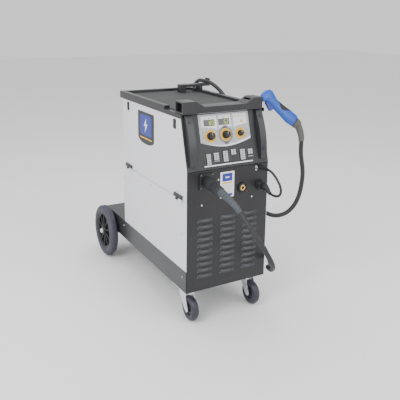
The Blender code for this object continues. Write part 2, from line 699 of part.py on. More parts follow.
def torch():
    """The hand torch in its holster: a handle with a broad head, a sprung trigger, and a neck with its gas nozzle."""
    outline = [(-0.013, -0.024), (-0.015, -0.012), (-0.014, 0.006), (-0.005, 0.026), (0.012, 0.0365), (0.028, 0.032),
               (0.043, 0.025), (0.059, 0.019), (0.085, 0.0205), (0.110, 0.0225), (0.140, 0.027), (0.160, 0.030),
               (0.174, 0.0305), (0.183, 0.027), (0.180, -0.025), (0.150, -0.029), (0.134, -0.027), (0.100, -0.024),
               (0.064, -0.022), (0.040, -0.020), (0.017, -0.024), (0.013, -0.030), (0.001, -0.038)]
    handle = plate("torch_handle", blue_plastic(), [outline], 0.034, (0, 0, 0), FACING_FRONT, TORCH)
    edge = handle.modifiers.new("edges", "BEVEL")
    edge.width = 0.006
    edge.segments = 2
    edge.limit_method = "ANGLE"
    edge.angle_limit = math.radians(60)
    cut(handle, box("trigger_slot", None, (0.0175, -0.0070, -0.070), (0.0675, 0.0070, -0.0085), TORCH))
    x, _, z = TRIGGER_PIVOT
    outline = [(0.0195, -0.0160), (0.0195, -0.0300), (0.0390, -0.0380), (0.0540, -0.0450), (0.0615, -0.0415),
               (0.0645, -0.0310), (0.0645, -0.0160)]
    lever = [(a - x, b - z) for a, b in outline]
    plate("torch_trigger", blue_plastic(), [lever], 0.012, TRIGGER_PIVOT, FACING_FRONT, TORCH)
    neck_z, neck_y = 0.930, TORCH_HEAD[1] + 0.003
    spots = [(0.1295, neck_y, neck_z), (0.150, neck_y, neck_z), (0.170, neck_y, neck_z), (0.1715, neck_y, neck_z),
             (0.1800, neck_y, neck_z + 0.0010), (0.1885, neck_y, neck_z + 0.0040)]
    widths = [1.0, 1.0, 1.0, 0.72, 0.72, 0.72]
    tube("torch_neck", brass(), spots, 0.0115, widths, resolution=3)
    relief = [(0.1850, 0, 0.0006), (0.2025, 0, -0.0005), (0.2205, 0.0009, -0.0063), (0.2397, 0.0029, -0.0177),
              (0.2546, 0.0047, -0.0304), (0.2669, 0.0088, -0.0433)]
    widths = [1.0, 0.95, 0.74, 0.66, 0.61, 0.57]
    tube("torch_relief", grey_plastic(), relief, 0.0235, widths, TORCH, 3)


def cables():
    """The torch cable and the short polarity lead, as plain tubes along their routes."""
    points = smooth_line(TORCH_CABLE_ROUTE, 3 * TORCH_CABLE_DIAMETER)
    tube("torch_cable", rubber(), points, TORCH_CABLE_DIAMETER / 2)
    points = smooth_line(POLARITY_ROUTE, 2.5 * POLARITY_DIAMETER)
    tube("polarity_cable", rubber(), points, POLARITY_DIAMETER / 2)


# ---------------------------------------------------------------- inside

def divider():
    """The wall between the wire bay on the left and the power section on the right."""
    bottom, top, inset = BASE_Z + CHASSIS_SHEET + GAP, 0.878, 0.012
    outline = side_outline(bottom, top, inset)
    holes = [ring_points(0.010, 12, (DRIVE_Y, EURO_Z - DRIVE_RADIUS))]
    plate("divider_panel", white_paint(), [outline, *holes], SHEET, (DIVIDER_X, 0, 0), FACING_SIDE)


def wire_bay():
    """The wire spool on its spindle, and the wire feeder in front of it."""
    face = DIVIDER_X - SHEET / 2 - GAP
    facing_left = (0, -math.pi / 2, 0)
    near, far = face - SPOOL_FACES[1], face - SPOOL_FACES[0]
    profile = [(0, far + 0.014), (0.028, far + 0.014), (0.032, far + 0.010), (0.032, far + GAP),
               (0.0245, far + GAP), (0.0245, near - GAP), (0.036, near - GAP), (0.036, 0), (0, 0)]
    smooth(turned("spool_spindle", black_plastic(), profile, (face, SPOOL_Y, SPOOL_Z), "X", None, 16, facing_left))
    lip, wound = 0.004, 0.128
    profile = [(SPOOL_RADIUS, far), (SPOOL_RADIUS, far - lip), (wound, far - lip), (wound, near + lip),
               (SPOOL_RADIUS, near + lip), (SPOOL_RADIUS, near), (0.0250, near), (0.0250, far)]
    smooth(turned("wire_spool", black_plastic(), profile, (face, SPOOL_Y, SPOOL_Z), "X", None, 24, facing_left))
    drive_z, press_z = EURO_Z - DRIVE_RADIUS - 0.0004, EURO_Z + PRESS_RADIUS + 0.0004
    outline = [(0.125, 0.560), (0.262, 0.560), (0.262, 0.672), (0.225, 0.672), (0.225, 0.630), (0.125, 0.630)]
    gearbox_face = -0.0945
    gearbox = plate("feed_gearbox", aluminium(), [outline], face - gearbox_face,
                    ((face + gearbox_face) / 2, 0, 0), FACING_SIDE)
    cut(gearbox, rod("drive_bore", None, 0.0056, -0.12, -0.06, axis="X", centre=(DRIVE_Y, drive_z), segments=16))
    join(gearbox, rod("arm_pivot", None, 0.0050, -0.104, -0.09, axis="X", centre=(PIVOT_Y, PIVOT_Z), segments=16))
    roller = [(0, 0.050), (0.0060, 0.050), (0.0060, 0.047), (DRIVE_RADIUS, 0.047), (DRIVE_RADIUS, 0.034),
              (0.0050, 0.034), (0.0050, 0.002), (0, 0.002)]
    smooth(turned("drive_roller", zinc(), roller, (-0.0695, DRIVE_Y, drive_z), "X", None, 16, facing_left))
    arm_faces = (-0.1015, -0.0950)
    arm_middle = sum(arm_faces) / 2
    outline = [(0.135, 0.634), (0.257, 0.634), (0.257, 0.668), (0.135, 0.668)]
    holes = [ring_points(0.0044, 12, (DRIVE_Y, press_z)), ring_points(0.0054, 12, (PIVOT_Y, PIVOT_Z))]
    arm = plate("pressure_arm", black_plastic(), [outline, *holes], arm_faces[1] - arm_faces[0],
                (arm_middle, 0, 0), FACING_SIDE)
    arm.data.transform(Matrix.Translation((-PIVOT_Y, -PIVOT_Z, 0)))
    arm.location = (arm_middle, PIVOT_Y, PIVOT_Z)
    roller = [(0, 0.0195), (0.0050, 0.0195), (0.0050, 0.0165), (PRESS_RADIUS, 0.0165), (PRESS_RADIUS, 0.0035),
              (0.0040, 0.0035), (0.0040, -0.0020), (0, -0.0020)]
    smooth(turned("pressure_roller", zinc(), roller, (-0.1, DRIVE_Y, press_z), "X", None, 16, facing_left))
    rod("tension_knob", blue_plastic(), 0.0085, 0.6683, 0.6950, axis="Z", centre=(arm_middle, 0.148), segments=16)
    rod("feed_motor", black_plastic(), 0.030, DIVIDER_X + SHEET / 2 + GAP, 0.052, axis="X",
        centre=(DRIVE_Y, drive_z))
    box("gas_valve", brass(), (-0.130, 0.630, 0.430), (-0.100, 0.6737, 0.470), bevel=0.002)


def power_section():
    """The transformer, the rectifier's heat sink, the control board and the fan."""
    floor = BASE_Z + CHASSIS_SHEET + GAP
    x, y, height, depth = 0.075, 0.260, 0.160, 0.080
    leg, window = 0.050, 0.046
    half = leg / 2 + window + leg / 2
    middle = floor + height / 2
    hollow = height - leg
    outlines = [block_points(2 * half, height)]
    for side in (-1, 1):
        outlines.append(block_points(window, hollow, (side * (leg + window) / 2, 0)))
    plate("transformer_core", laminated_steel(), outlines, depth, (x, y, middle), FACING_FRONT)
    reach_x, reach_y = leg / 2 + window - 0.003, depth / 2 + 0.034
    coil = box("transformer_winding", copper(), (x - reach_x, y - reach_y, middle - hollow / 2 + 0.002),
               (x + reach_x, y + reach_y, middle + hollow / 2 - 0.002), bevel=0.008)
    cut(coil, box("winding_window", None, (x - leg / 2 - 0.001, y - depth / 2 - 0.001, 0),
                  (x + leg / 2 + 0.001, y + depth / 2 + 0.001, 0.6)))
    fins, pitch, fin, base, tall = 9, 0.014, 0.003, 0.006, 0.070
    width = (fins - 1) * pitch + fin
    outline = [(width, 0), (width, tall)]
    for i in range(fins - 1, -1, -1):
        left = i * pitch
        outline += [(left, tall)] if i == 0 else [(left, tall), (left, base), (left - pitch + fin, base),
                                                  (left - pitch + fin, tall)]
    outline.append((0, 0))
    plate("rectifier_heatsink", aluminium(), [outline], 0.130, (0.010, 0.470, floor), FACING_FRONT)
    box("control_board", green_board(), (-0.030, 0.030, -0.0316), (0.160, 0.185, -0.0300), SLOPE)
    rotor = rod("fan_rotor", black_plastic(), 0.022, -0.010, 0.010, axis="Y", centre=(FAN_X, FAN_Z))
    rotor.location.y = 0.622
    for i in range(5):
        turn = math.tau * i / 5
        blade = box(f"fan_blade_{i}", None, (-0.022, 0.018, -0.001), (0.022, FAN_RADIUS, 0.001))
        blade.matrix_basis = (Matrix.Translation((FAN_X, 0.622, FAN_Z)) @ Matrix.Rotation(math.pi / 2, 4, "X")
                              @ Matrix.Rotation(turn, 4, "Z") @ Matrix.Translation((0, 0.050, 0))
                              @ Matrix.Rotation(math.radians(24), 4, "Y"))
        join(rotor, blade)


def main_switch():
    """The rotary mains switch on the rear panel."""
    profile = [(0, 0.026), (0.0150, 0.026), (0.0165, 0.024), (0.0180, 0.0003), (0.0100, 0.0003),
               (0.0100, -0.020), (0, -0.020)]
    smooth(turned("main_switch", black_plastic(), profile, (SWITCH_X, DEPTH, SWITCH_Z), "Y", None, 16,
                  (-math.pi / 2, 0, 0)))


# ---------------------------------------------------------------- running gear

def rear_wheels():
    """The fixed axle, and a rubber-tyred wheel at each end of it."""
    z = WHEEL_RADIUS
    face = WHEEL_FACE + 0.004
    half = face + 0.0065
    profile = [(0, half), (0.008, half), (0.011, half - 0.003), (0.011, face + GAP), (AXLE_RADIUS, face + GAP),
               (AXLE_RADIUS, -face - GAP), (0.011, -face - GAP), (0.011, -half + 0.003), (0.008, -half), (0, -half)]
    smooth(turned("rear_axle", zinc(), profile, (0, AXLE_Y, z), "X", None, 16))
    inner = WHEEL_FACE - WHEEL_WIDTH
    centre = (WHEEL_FACE + inner) / 2
    tyre = WHEEL_WIDTH / 2
    for name, side in (("rear_wheel_left", -1), ("rear_wheel_right", 1)):
        outer = [(0.024, face - centre), (0.026, 0.006), (0.086, 0.006), (0.090, tyre - 0.007),
                 (0.102, tyre - 0.003), (0.112, tyre), (0.126, tyre - 0.003), (0.1335, tyre - 0.009), (0.136, 0.007)]
        mirrored = [(r, -h) for r, h in reversed(outer[1:])] + [(0.024, inner - centre)]
        bore = [(AXLE_RADIUS + GAP, inner - centre), (AXLE_RADIUS + GAP, face - centre)]
        turn = (0, side * math.pi / 2, 0)
        smooth(turned(name, rubber(), outer + mirrored + bore, (side * centre, AXLE_Y, z), "X", None, 28, turn))


def casters():
    """Two swivel casters: a top plate, a fork on its race, and a wheel on the fork's bolt."""
    plate_z = BASE_Z - GAP
    for name, x in (("left", -CASTER_X), ("right", CASTER_X)):
        y = CASTER_Y
        box(f"caster_plate_{name}", zinc(), (x - 0.042, y - 0.050, plate_z - 0.0040), (x + 0.042, y + 0.050, plate_z))
        race_top = plate_z - 0.0040 - GAP
        crown = race_top - 0.0120
        gap_x = CASTER_WIDTH / 2 + 0.0020
        cheek = 0.0030
        fork = rod(f"caster_fork_{name}", zinc(), 0.0260, crown, race_top, axis="Z", centre=(x, y))
        join(fork, box(f"crown_{name}", None, (x - gap_x - cheek, y - 0.028, crown - 0.0030),
                       (x + gap_x + cheek, y + 0.028, crown + 0.0010)))
        axle_y, axle_z = y - CASTER_TRAIL, CASTER_RADIUS
        outline = [(y + 0.028, crown), (y + 0.028, crown - 0.016), (axle_y + 0.013, axle_z - 0.010),
                   (axle_y, axle_z - 0.015), (axle_y - 0.011, axle_z - 0.010), (axle_y - 0.013, axle_z),
                   (y - 0.028, crown - 0.020), (y - 0.028, crown)]
        for side in (-1, 1):
            cheek_x = x + side * (gap_x + cheek / 2)
            join(fork, plate(f"cheek_{name}_{side}", None, [outline[::-1]], cheek, (cheek_x, 0, 0), FACING_SIDE))
        join(fork, rod(f"bolt_{name}", None, 0.0040, x - gap_x - cheek - 0.0030, x + gap_x + cheek + 0.0030,
                       axis="X", centre=(axle_y, axle_z), segments=12))
        half, radius = CASTER_WIDTH / 2, CASTER_RADIUS
        profile = [(0.014, half), (0.016, half - 0.004), (0.034, half - 0.004), (0.040, half), (0.048, half - 0.002),
                   (0.053, half - 0.007), (radius, half - 0.012)]
        profile += [(r, -h) for r, h in reversed(profile)] + [(0.0044, -half), (0.0044, half)]
        smooth(turned(f"caster_wheel_{name}", rubber(), profile, (x, axle_y, axle_z), "X", None, 20))


def main():
    for make in (base_chassis, lower_front_panel, upper_front_panel, control_overlay, left_side, latches,
                 right_side_panel, rear_panel, top_tray, torch_holder, cable_hook, knobs, buttons, euro_socket,
                 polarity_gland, dinse_plug, euro_plug, torch, cables, divider, wire_bay, power_section,
                 main_switch, rear_wheels, casters):
        make()
    grip_bar("grip_left", -1)
    grip_bar("grip_right", 1)
    dinse_socket("dinse_socket_free", DINSE_FREE_X)
    dinse_socket("dinse_socket_used", DINSE_USED_X)


main()
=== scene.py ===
"""Looks of the wire-feed welder on its cart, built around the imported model.

Places are written in the cabinet's own coordinates: x to the right seen from the front, y to the rear
from the front panel's face, z up from the floor, in metres. Each face that carries detail has a frame
of its own, whose third axis points out of it.
"""
import math

import bmesh
import bpy
from mathutils import Matrix, Vector


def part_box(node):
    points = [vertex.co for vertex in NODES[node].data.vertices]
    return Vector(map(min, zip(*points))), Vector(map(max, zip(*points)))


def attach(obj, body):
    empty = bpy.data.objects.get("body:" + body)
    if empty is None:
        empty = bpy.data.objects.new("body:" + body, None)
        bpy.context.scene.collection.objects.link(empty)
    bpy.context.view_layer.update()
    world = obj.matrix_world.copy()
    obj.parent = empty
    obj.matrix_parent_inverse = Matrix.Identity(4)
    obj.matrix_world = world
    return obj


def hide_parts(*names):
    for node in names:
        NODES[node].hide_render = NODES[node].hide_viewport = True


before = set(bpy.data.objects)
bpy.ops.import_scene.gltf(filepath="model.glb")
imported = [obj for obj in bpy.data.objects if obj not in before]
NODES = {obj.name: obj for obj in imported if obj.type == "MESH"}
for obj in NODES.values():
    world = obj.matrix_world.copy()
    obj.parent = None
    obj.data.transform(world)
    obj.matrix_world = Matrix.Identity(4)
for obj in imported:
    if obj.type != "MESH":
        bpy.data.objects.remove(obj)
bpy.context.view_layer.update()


# ---------------------------------------------------------------- frames

def axes(origin, x, y):
    """A frame with its origin, first axis and second axis given."""
    x, y = Vector(x).normalized(), Vector(y).normalized()
    made = Matrix((x, y, x.cross(y))).transposed().to_4x4()
    made.translation = Vector(origin)
    return made


front_low, front_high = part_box("lower_front_panel")
CAB = Matrix.Translation(((front_low.x + front_high.x) / 2, front_low.y, 0))
HALF_WIDTH = 0.200
BREAK_Z = 0.677
SEAM_Z = 0.5475
TILT = math.atan2(0.056, 0.207)
FRONT = CAB @ axes((0, 0, 0), (1, 0, 0), (0, 0, 1))
LEFT = CAB @ axes((-HALF_WIDTH, 0, 0), (0, -1, 0), (0, 0, 1))
RIGHT = CAB @ axes((HALF_WIDTH, 0, 0), (0, 1, 0), (0, 0, 1))
REAR = CAB @ axes((0, 0.676, 0), (-1, 0, 0), (0, 0, 1))
SLOPE = CAB @ axes((0, 0, BREAK_Z), (1, 0, 0), (0, math.sin(TILT), math.cos(TILT)))
TORCH = CAB @ axes((0.2205, 0.070, 0.955), (0.70711, -0.24185, -0.66446), (0, 0.93969, -0.34202))


def reach(node, place):
    """How far a node stands out along the third axis of a frame."""
    back = place.inverted()
    return max((back @ v.co).z for v in NODES[node].data.vertices)


# ---------------------------------------------------------------- camera

CAMERA_PLACE = (-1.2118, -1.9050, 1.2953)
CAMERA_TURN = (77.322, -0.660, -29.199)


def camera():
    """The view that the picture is taken from."""
    data = bpy.data.cameras.new("camera")
    data.lens = 50.58
    data.sensor_width = 36.0
    data.shift_y = -0.15
    made = bpy.data.objects.new("camera", data)
    bpy.context.scene.collection.objects.link(made)
    made.location = CAB @ Vector(CAMERA_PLACE)
    made.rotation_euler = [math.radians(a) for a in CAMERA_TURN]
    bpy.context.scene.camera = made


camera()


# ---------------------------------------------------------------- finishes

def finish(name, colour, rough, metal=0.0, grain=900.0, bump=0.10, drift=0.08, wear=None, worn=0.64,
           coat=0.0, glow=0.0, depth=0.0003, broad=8.0):
    """A material with slow colour drift, scuffs, uneven roughness and a fine grain."""
    made = bpy.data.materials.new(name)
    made.use_nodes = True
    tree = made.node_tree
    tree.nodes.clear()
    new, link = tree.nodes.new, tree.links.new
    out, skin, where = new("ShaderNodeOutputMaterial"), new("ShaderNodeBsdfPrincipled"), new("ShaderNodeTexCoord")

    def noise(scale, detail):
        node = new("ShaderNodeTexNoise")
        node.inputs["Scale"].default_value = scale
        node.inputs["Detail"].default_value = detail
        link(where.outputs["Object"], node.inputs["Vector"])
        return node.outputs["Fac"]

    def remap(value, low, high, to_low, to_high):
        node = new("ShaderNodeMapRange")
        for socket, number in zip(node.inputs[1:5], (low, high, to_low, to_high)):
            socket.default_value = number
        link(value, node.inputs[0])
        return node.outputs[0]

    def mixed(factor, a, b):
        node = new("ShaderNodeMix")
        node.data_type = "RGBA"
        link(factor, node.inputs[0])
        for socket, value in ((node.inputs[6], a), (node.inputs[7], b)):
            if isinstance(value, tuple):
                socket.default_value = (*value, 1.0)
            else:
                link(value, socket)
        return node.outputs[2]

    fine = noise(grain, 3)
    dark, light = (tuple(c * k for c in colour) for k in (1 - drift, 1 + drift))
    shade = mixed(remap(noise(broad, 4), 0.35, 0.65, 0, 1), dark, light)
    if wear:
        shade = mixed(remap(noise(45.0, 8), worn, worn + 0.10, 0, 0.55), shade, wear)
    link(shade, skin.inputs["Base Color"])
    link(remap(fine, 0.3, 0.7, max(rough - 0.06, 0.03), rough + 0.06), skin.inputs["Roughness"])
    skin.inputs["Metallic"].default_value = metal
    skin.inputs["Coat Weight"].default_value = coat
    if glow:
        skin.inputs["Emission Color"].default_value = (*colour, 1.0)
        skin.inputs["Emission Strength"].default_value = glow
    rise = new("ShaderNodeBump")
    rise.inputs["Strength"].default_value = bump
    rise.inputs["Distance"].default_value = depth
    link(fine, rise.inputs["Height"])
    link(rise.outputs[0], skin.inputs["Normal"])
    link(skin.outputs[0], out.inputs[0])
    return made


WHITE = finish("white_powder", (0.74, 0.74, 0.775), 0.40, grain=1400, bump=0.12, drift=0.02, broad=3,
               wear=(0.60, 0.60, 0.64), worn=0.70)
BLACK = finish("black_powder", (0.0125, 0.0125, 0.0145), 0.42, grain=1500, bump=0.22, wear=(0.03, 0.03, 0.034))
SKIRT = finish("skirt_powder", (0.034, 0.036, 0.041), 0.36, grain=1500, bump=0.18, wear=(0.07, 0.07, 0.078))
BEZEL = finish("bezel_plastic", (0.0205, 0.0225, 0.0255), 0.46, grain=1800, bump=0.30, wear=(0.04, 0.043, 0.047))
GRIP = finish("grip_plastic", (0.028, 0.031, 0.036), 0.36, grain=1600, bump=0.16, wear=(0.05, 0.054, 0.06))
PLASTIC = finish("black_plastic", (0.0125, 0.0130, 0.0145), 0.44, grain=1500, bump=0.20, wear=(0.03, 0.03, 0.033))
PLUG = finish("plug_plastic", (0.0170, 0.0200, 0.0240), 0.48, grain=1300, bump=0.25, wear=(0.035, 0.038, 0.044))
RUBBER = finish("black_rubber", (0.016, 0.0165, 0.018), 0.55, grain=700, bump=0.25, wear=(0.04, 0.04, 0.042))
BOOT = finish("boot_rubber", (0.052, 0.062, 0.070), 0.52, grain=900, bump=0.25, wear=(0.09, 0.10, 0.11))
RELIEF = finish("relief_rubber", (0.085, 0.086, 0.078), 0.52, grain=900, bump=0.25, wear=(0.14, 0.14, 0.13))
TYRE = finish("tyre_rubber", (0.052, 0.052, 0.074), 0.66, grain=500, bump=0.45, drift=0.14, wear=(0.10, 0.10, 0.12),
              worn=0.58)
CASTER = finish("caster_rubber", (0.030, 0.028, 0.044), 0.42, grain=600, bump=0.22, wear=(0.07, 0.07, 0.09))
ZINC = finish("zinc_plate", (0.80, 0.79, 0.88), 0.30, metal=0.85, grain=260, bump=0.10, drift=0.10, broad=60,
              wear=(0.55, 0.55, 0.60), worn=0.62)
STEEL = finish("bright_screw", (0.72, 0.72, 0.74), 0.28, metal=1.0, grain=900, bump=0.12, drift=0.10, broad=90)
DULL = finish("dull_steel", (0.20, 0.20, 0.215), 0.44, metal=0.8, grain=800, bump=0.20, drift=0.12, broad=50)
BRASS = finish("brass", (0.78, 0.52, 0.20), 0.32, metal=1.0, grain=700, bump=0.12, drift=0.12, broad=80,
               wear=(0.45, 0.28, 0.10))
FILM = finish("silver_film", (0.40, 0.41, 0.43), 0.40, metal=0.15, grain=1500, bump=0.08, drift=0.05)
PAPER = finish("white_print", (0.82, 0.82, 0.82), 0.42, grain=1500, bump=0.05, drift=0.02)
CELL = finish("grey_print", (0.50, 0.50, 0.51), 0.45, grain=1500, bump=0.05, drift=0.05)
INK = finish("dark_print", (0.05, 0.052, 0.056), 0.45, grain=1500, bump=0.05, drift=0.05)
YELLOW = finish("yellow_print", (0.76, 0.43, 0.025), 0.40, grain=1500, bump=0.06, drift=0.04)
NAVY = finish("blue_print", (0.020, 0.040, 0.300), 0.38, grain=1500, bump=0.06, drift=0.05)
RED = finish("red_print", (0.55, 0.03, 0.02), 0.38, grain=1500, bump=0.06, drift=0.05)
GLASS = finish("display_window", (0.006, 0.008, 0.006), 0.14, grain=400, bump=0.02, drift=0.20, coat=0.6)
SEGMENT = finish("lit_segment", (0.42, 0.58, 0.06), 0.40, grain=1200, bump=0.04, glow=0.55)
AMBER = finish("amber_lamp", (0.85, 0.32, 0.03), 0.30, grain=1200, bump=0.04, glow=0.30)
BLUE = finish("blue_plastic", (0.012, 0.085, 0.420), 0.30, grain=1300, bump=0.12, drift=0.10,
              wear=(0.05, 0.16, 0.50), worn=0.66)
VIOLET = finish("trigger_plastic", (0.020, 0.040, 0.270), 0.32, grain=1300, bump=0.12, drift=0.10)
MAT = finish("tray_rubber", (0.036, 0.037, 0.038), 0.70, grain=420, bump=0.55, drift=0.10, wear=(0.06, 0.06, 0.062))
TRAY = finish("tray_powder", (0.022, 0.022, 0.025), 0.34, grain=1500, bump=0.18, wear=(0.05, 0.05, 0.055))
COPPER = finish("enamelled_copper", (0.50, 0.17, 0.05), 0.35, metal=0.9, grain=500, bump=0.20, drift=0.15, broad=120)
LAMINATE = finish("laminated_steel", (0.26, 0.26, 0.27), 0.45, metal=0.8, grain=900, bump=0.30, drift=0.12)
BOARD = finish("green_board", (0.02, 0.14, 0.05), 0.38, grain=800, bump=0.12, drift=0.10)
ALUMINIUM = finish("aluminium", (0.62, 0.63, 0.64), 0.36, metal=1.0, grain=900, bump=0.14, drift=0.06)
WHITE_KEY = finish("white_key", (0.76, 0.76, 0.73), 0.30, grain=1200, bump=0.06, drift=0.03)
GOLD_KEY = finish("gold_key", (0.72, 0.42, 0.07), 0.28, grain=1200, bump=0.06, drift=0.06)
WIRE = finish("welding_wire", (0.62, 0.34, 0.17), 0.34, metal=1.0, grain=1400, bump=0.35, drift=0.10, broad=40)

SLOT_FINISH = {
    "white_powder_coat": WHITE, "black_powder_coat": BLACK, "black_moulded_plastic": PLASTIC,
    "charcoal_moulded_plastic": BEZEL, "black_rubber": RUBBER, "tyre_rubber": TYRE, "zinc_plated_steel": ZINC,
    "brass": BRASS, "silver_front_film": FILM, "blue_moulded_plastic": BLUE, "enamelled_copper": COPPER,
    "laminated_steel": LAMINATE, "green_board": BOARD, "aluminium": ALUMINIUM, "white_button_plastic": WHITE_KEY,
    "gold_button_plastic": GOLD_KEY,
}
NODE_FINISH = {
    "base_chassis": SKIRT, "grip_left": GRIP, "grip_right": GRIP, "tray_mat": MAT, "top_tray": TRAY,
    "torch_holder": TRAY, "cable_hook": TRAY, "torch_trigger": VIOLET, "main_switch": RED,
}
SHARP_NODES = {"tray_mat", "control_board", "control_overlay"}
SHARP_EDGE, SOFT_EDGE = 0.0004, 0.0009


def dress_nodes():
    """Gives each CAD node its finish and softens its edges, less on thin sheets."""
    for name, node in NODES.items():
        slot = node.data.materials[0].name.split(".")[0] if node.data.materials else ""
        node.data.materials.clear()
        node.data.materials.append(NODE_FINISH.get(name) or SLOT_FINISH.get(slot, PLASTIC))
        if "custom_normal" in node.data.attributes:
            node.data.attributes.remove(node.data.attributes["custom_normal"])
        node.data.polygons.foreach_set("use_smooth", [True] * len(node.data.polygons))
        weld = node.modifiers.new("weld", "WELD")
        weld.merge_threshold = 0.00001
        soften(node, SHARP_EDGE if name in SHARP_NODES else SOFT_EDGE)


def soften(piece, width):
    """Rounds a piece's edges and evens its shading."""
    edge = piece.modifiers.new("edges", "BEVEL")
    edge.width = width
    edge.segments = 2
    edge.limit_method = "ANGLE"
    edge.angle_limit = math.radians(40)
    piece.modifiers.new("shading", "WEIGHTED_NORMAL")


# ---------------------------------------------------------------- shapes

def rounded(width, height, radius, x=0.0, y=0.0, steps=4):
    """The outline of a rectangle with round corners."""
    points = []
    for k, (sx, sy) in enumerate(((1, 1), (-1, 1), (-1, -1), (1, -1))):
        cx, cy = x + sx * (width / 2 - radius), y + sy * (height / 2 - radius)
        for i in range(steps + 1):
            a = math.pi / 2 * (k + i / steps)
            points.append((cx + radius * math.cos(a), cy + radius * math.sin(a)))
    return points


def smooth_line(points, spacing):
    """An even Catmull-Rom line through the points."""
    points = [Vector(p) for p in points]
    ends = [2 * points[0] - points[1], *points, 2 * points[-1] - points[-2]]
    dense = []
    for a, b, c, d in zip(ends, ends[1:], ends[2:], ends[3:]):
        for i in range(24):
            t = i / 24
            dense.append(0.5 * (2 * b + (c - a) * t + (2 * a - 5 * b + 4 * c - d) * t * t
                                + (3 * b - a - 3 * c + d) * t ** 3))
    dense.append(points[-1])
    total = sum((b - a).length for a, b in zip(dense, dense[1:]))
    count = max(2, round(total / spacing))
    made, walked, target = [dense[0]], 0.0, total / count
    for a, b in zip(dense, dense[1:]):
        step = (b - a).length
        while walked + step >= target - 1e-9 and len(made) < count:
            made.append(a.lerp(b, (target - walked) / step if step else 0))
            target += total / count
        walked += step
    return made + [dense[-1]]


def sweep(points, radii, sides=20):
    """Rings along a line, turned as little as possible from one to the next."""
    rings, side = [], None
    for i, p in enumerate(points):
        along = (points[min(i + 1, len(points) - 1)] - points[max(i - 1, 0)]).normalized()
        side = Vector((0, 0, 1)).cross(along) if side is None else side - along * side.dot(along)
        if side.length < 1e-6:
            side = along.orthogonal()
        side.normalize()
        up = along.cross(side)
        rings.append([p + radii[i] * (side * math.cos(a) + up * math.sin(a))
                      for a in (2 * math.pi * k / sides for k in range(sides))])
    return rings


class Shape:
    """Faces gathered in one frame, and the piece made from them."""

    def __init__(self, place):
        self.place, self.verts, self.faces, self.kinds = place, [], [], []

    def add(self, verts, faces, kind=0, at=None):
        start = len(self.verts)
        self.verts += [(at @ Vector(v)) if at else Vector(v) for v in verts]
        self.faces += [[start + i for i in f] for f in faces]
        self.kinds += [kind] * len(faces)

    def loft(self, rings, kind=0, at=None, closed=False):
        n, rows = len(rings[0]), len(rings)
        faces = []
        for r in range(rows if closed else rows - 1):
            below, above = r * n, (r + 1) % rows * n
            faces += [(below + i, below + (i + 1) % n, above + (i + 1) % n, above + i) for i in range(n)]
        if not closed:
            faces += [tuple(range(n))[::-1], tuple((rows - 1) * n + i for i in range(n))]
        self.add([v for ring in rings for v in ring], faces, kind, at)

    def slab(self, outline, low, high, kind=0, at=None):
        self.loft([[(x, y, h) for x, y in outline] for h in (low, high)], kind, at)

    def lathe(self, profile, kind=0, at=None, steps=32, flutes=0, depth=0.0, closed=False):
        """Turns (radius, height) pairs about the third axis. Flutes wave the radius in and out."""
        rings = []
        for radius, height in profile:
            ring = []
            for i in range(steps):
                a = 2 * math.pi * i / steps
                r = max(radius, 0.0001) - (depth * (0.5 - 0.5 * math.cos(flutes * a)) if radius > 2 * depth else 0)
                ring.append((r * math.cos(a), r * math.sin(a), height))
            rings.append(ring)
        self.loft(rings, kind, at, closed)

    def ring(self, inner, outer, low, high, kind=0, at=None, steps=32):
        self.lathe([(inner, low), (outer, low), (outer, high), (inner, high)], kind, at, steps, closed=True)

    def screw(self, x, y, radius=0.0044, kind=0, out=0.0):
        self.lathe([(radius, out), (radius * 0.96, out + 0.0010), (radius * 0.62, out + 0.0019),
                    (radius * 0.40, out + 0.0020), (radius * 0.36, out + 0.0009), (0, out + 0.0008)],
                   kind, Matrix.Translation((x, y, 0)), 16)

    def make(self, name, body, finishes, slot, bevel=0.0, sharp=35.0, replaces=()):
        mesh = bpy.data.meshes.new(name)
        mesh.from_pydata([self.place @ v for v in self.verts], [], self.faces)
        mesh.polygons.foreach_set("material_index", self.kinds)
        mesh.polygons.foreach_set("use_smooth", [True] * len(mesh.polygons))
        shell = bmesh.new()
        shell.from_mesh(mesh)
        bmesh.ops.recalc_face_normals(shell, faces=shell.faces)
        shell.to_mesh(mesh)
        shell.free()
        mesh.set_sharp_from_angle(angle=math.radians(sharp))
        for one in finishes:
            mesh.materials.append(one)
        piece = bpy.data.objects.new(name, mesh)
        bpy.context.scene.collection.objects.link(piece)
        if bevel:
            soften(piece, bevel)
        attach(piece, body)
        if replaces:
            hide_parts(*replaces)
        return piece


# ---------------------------------------------------------------- cords

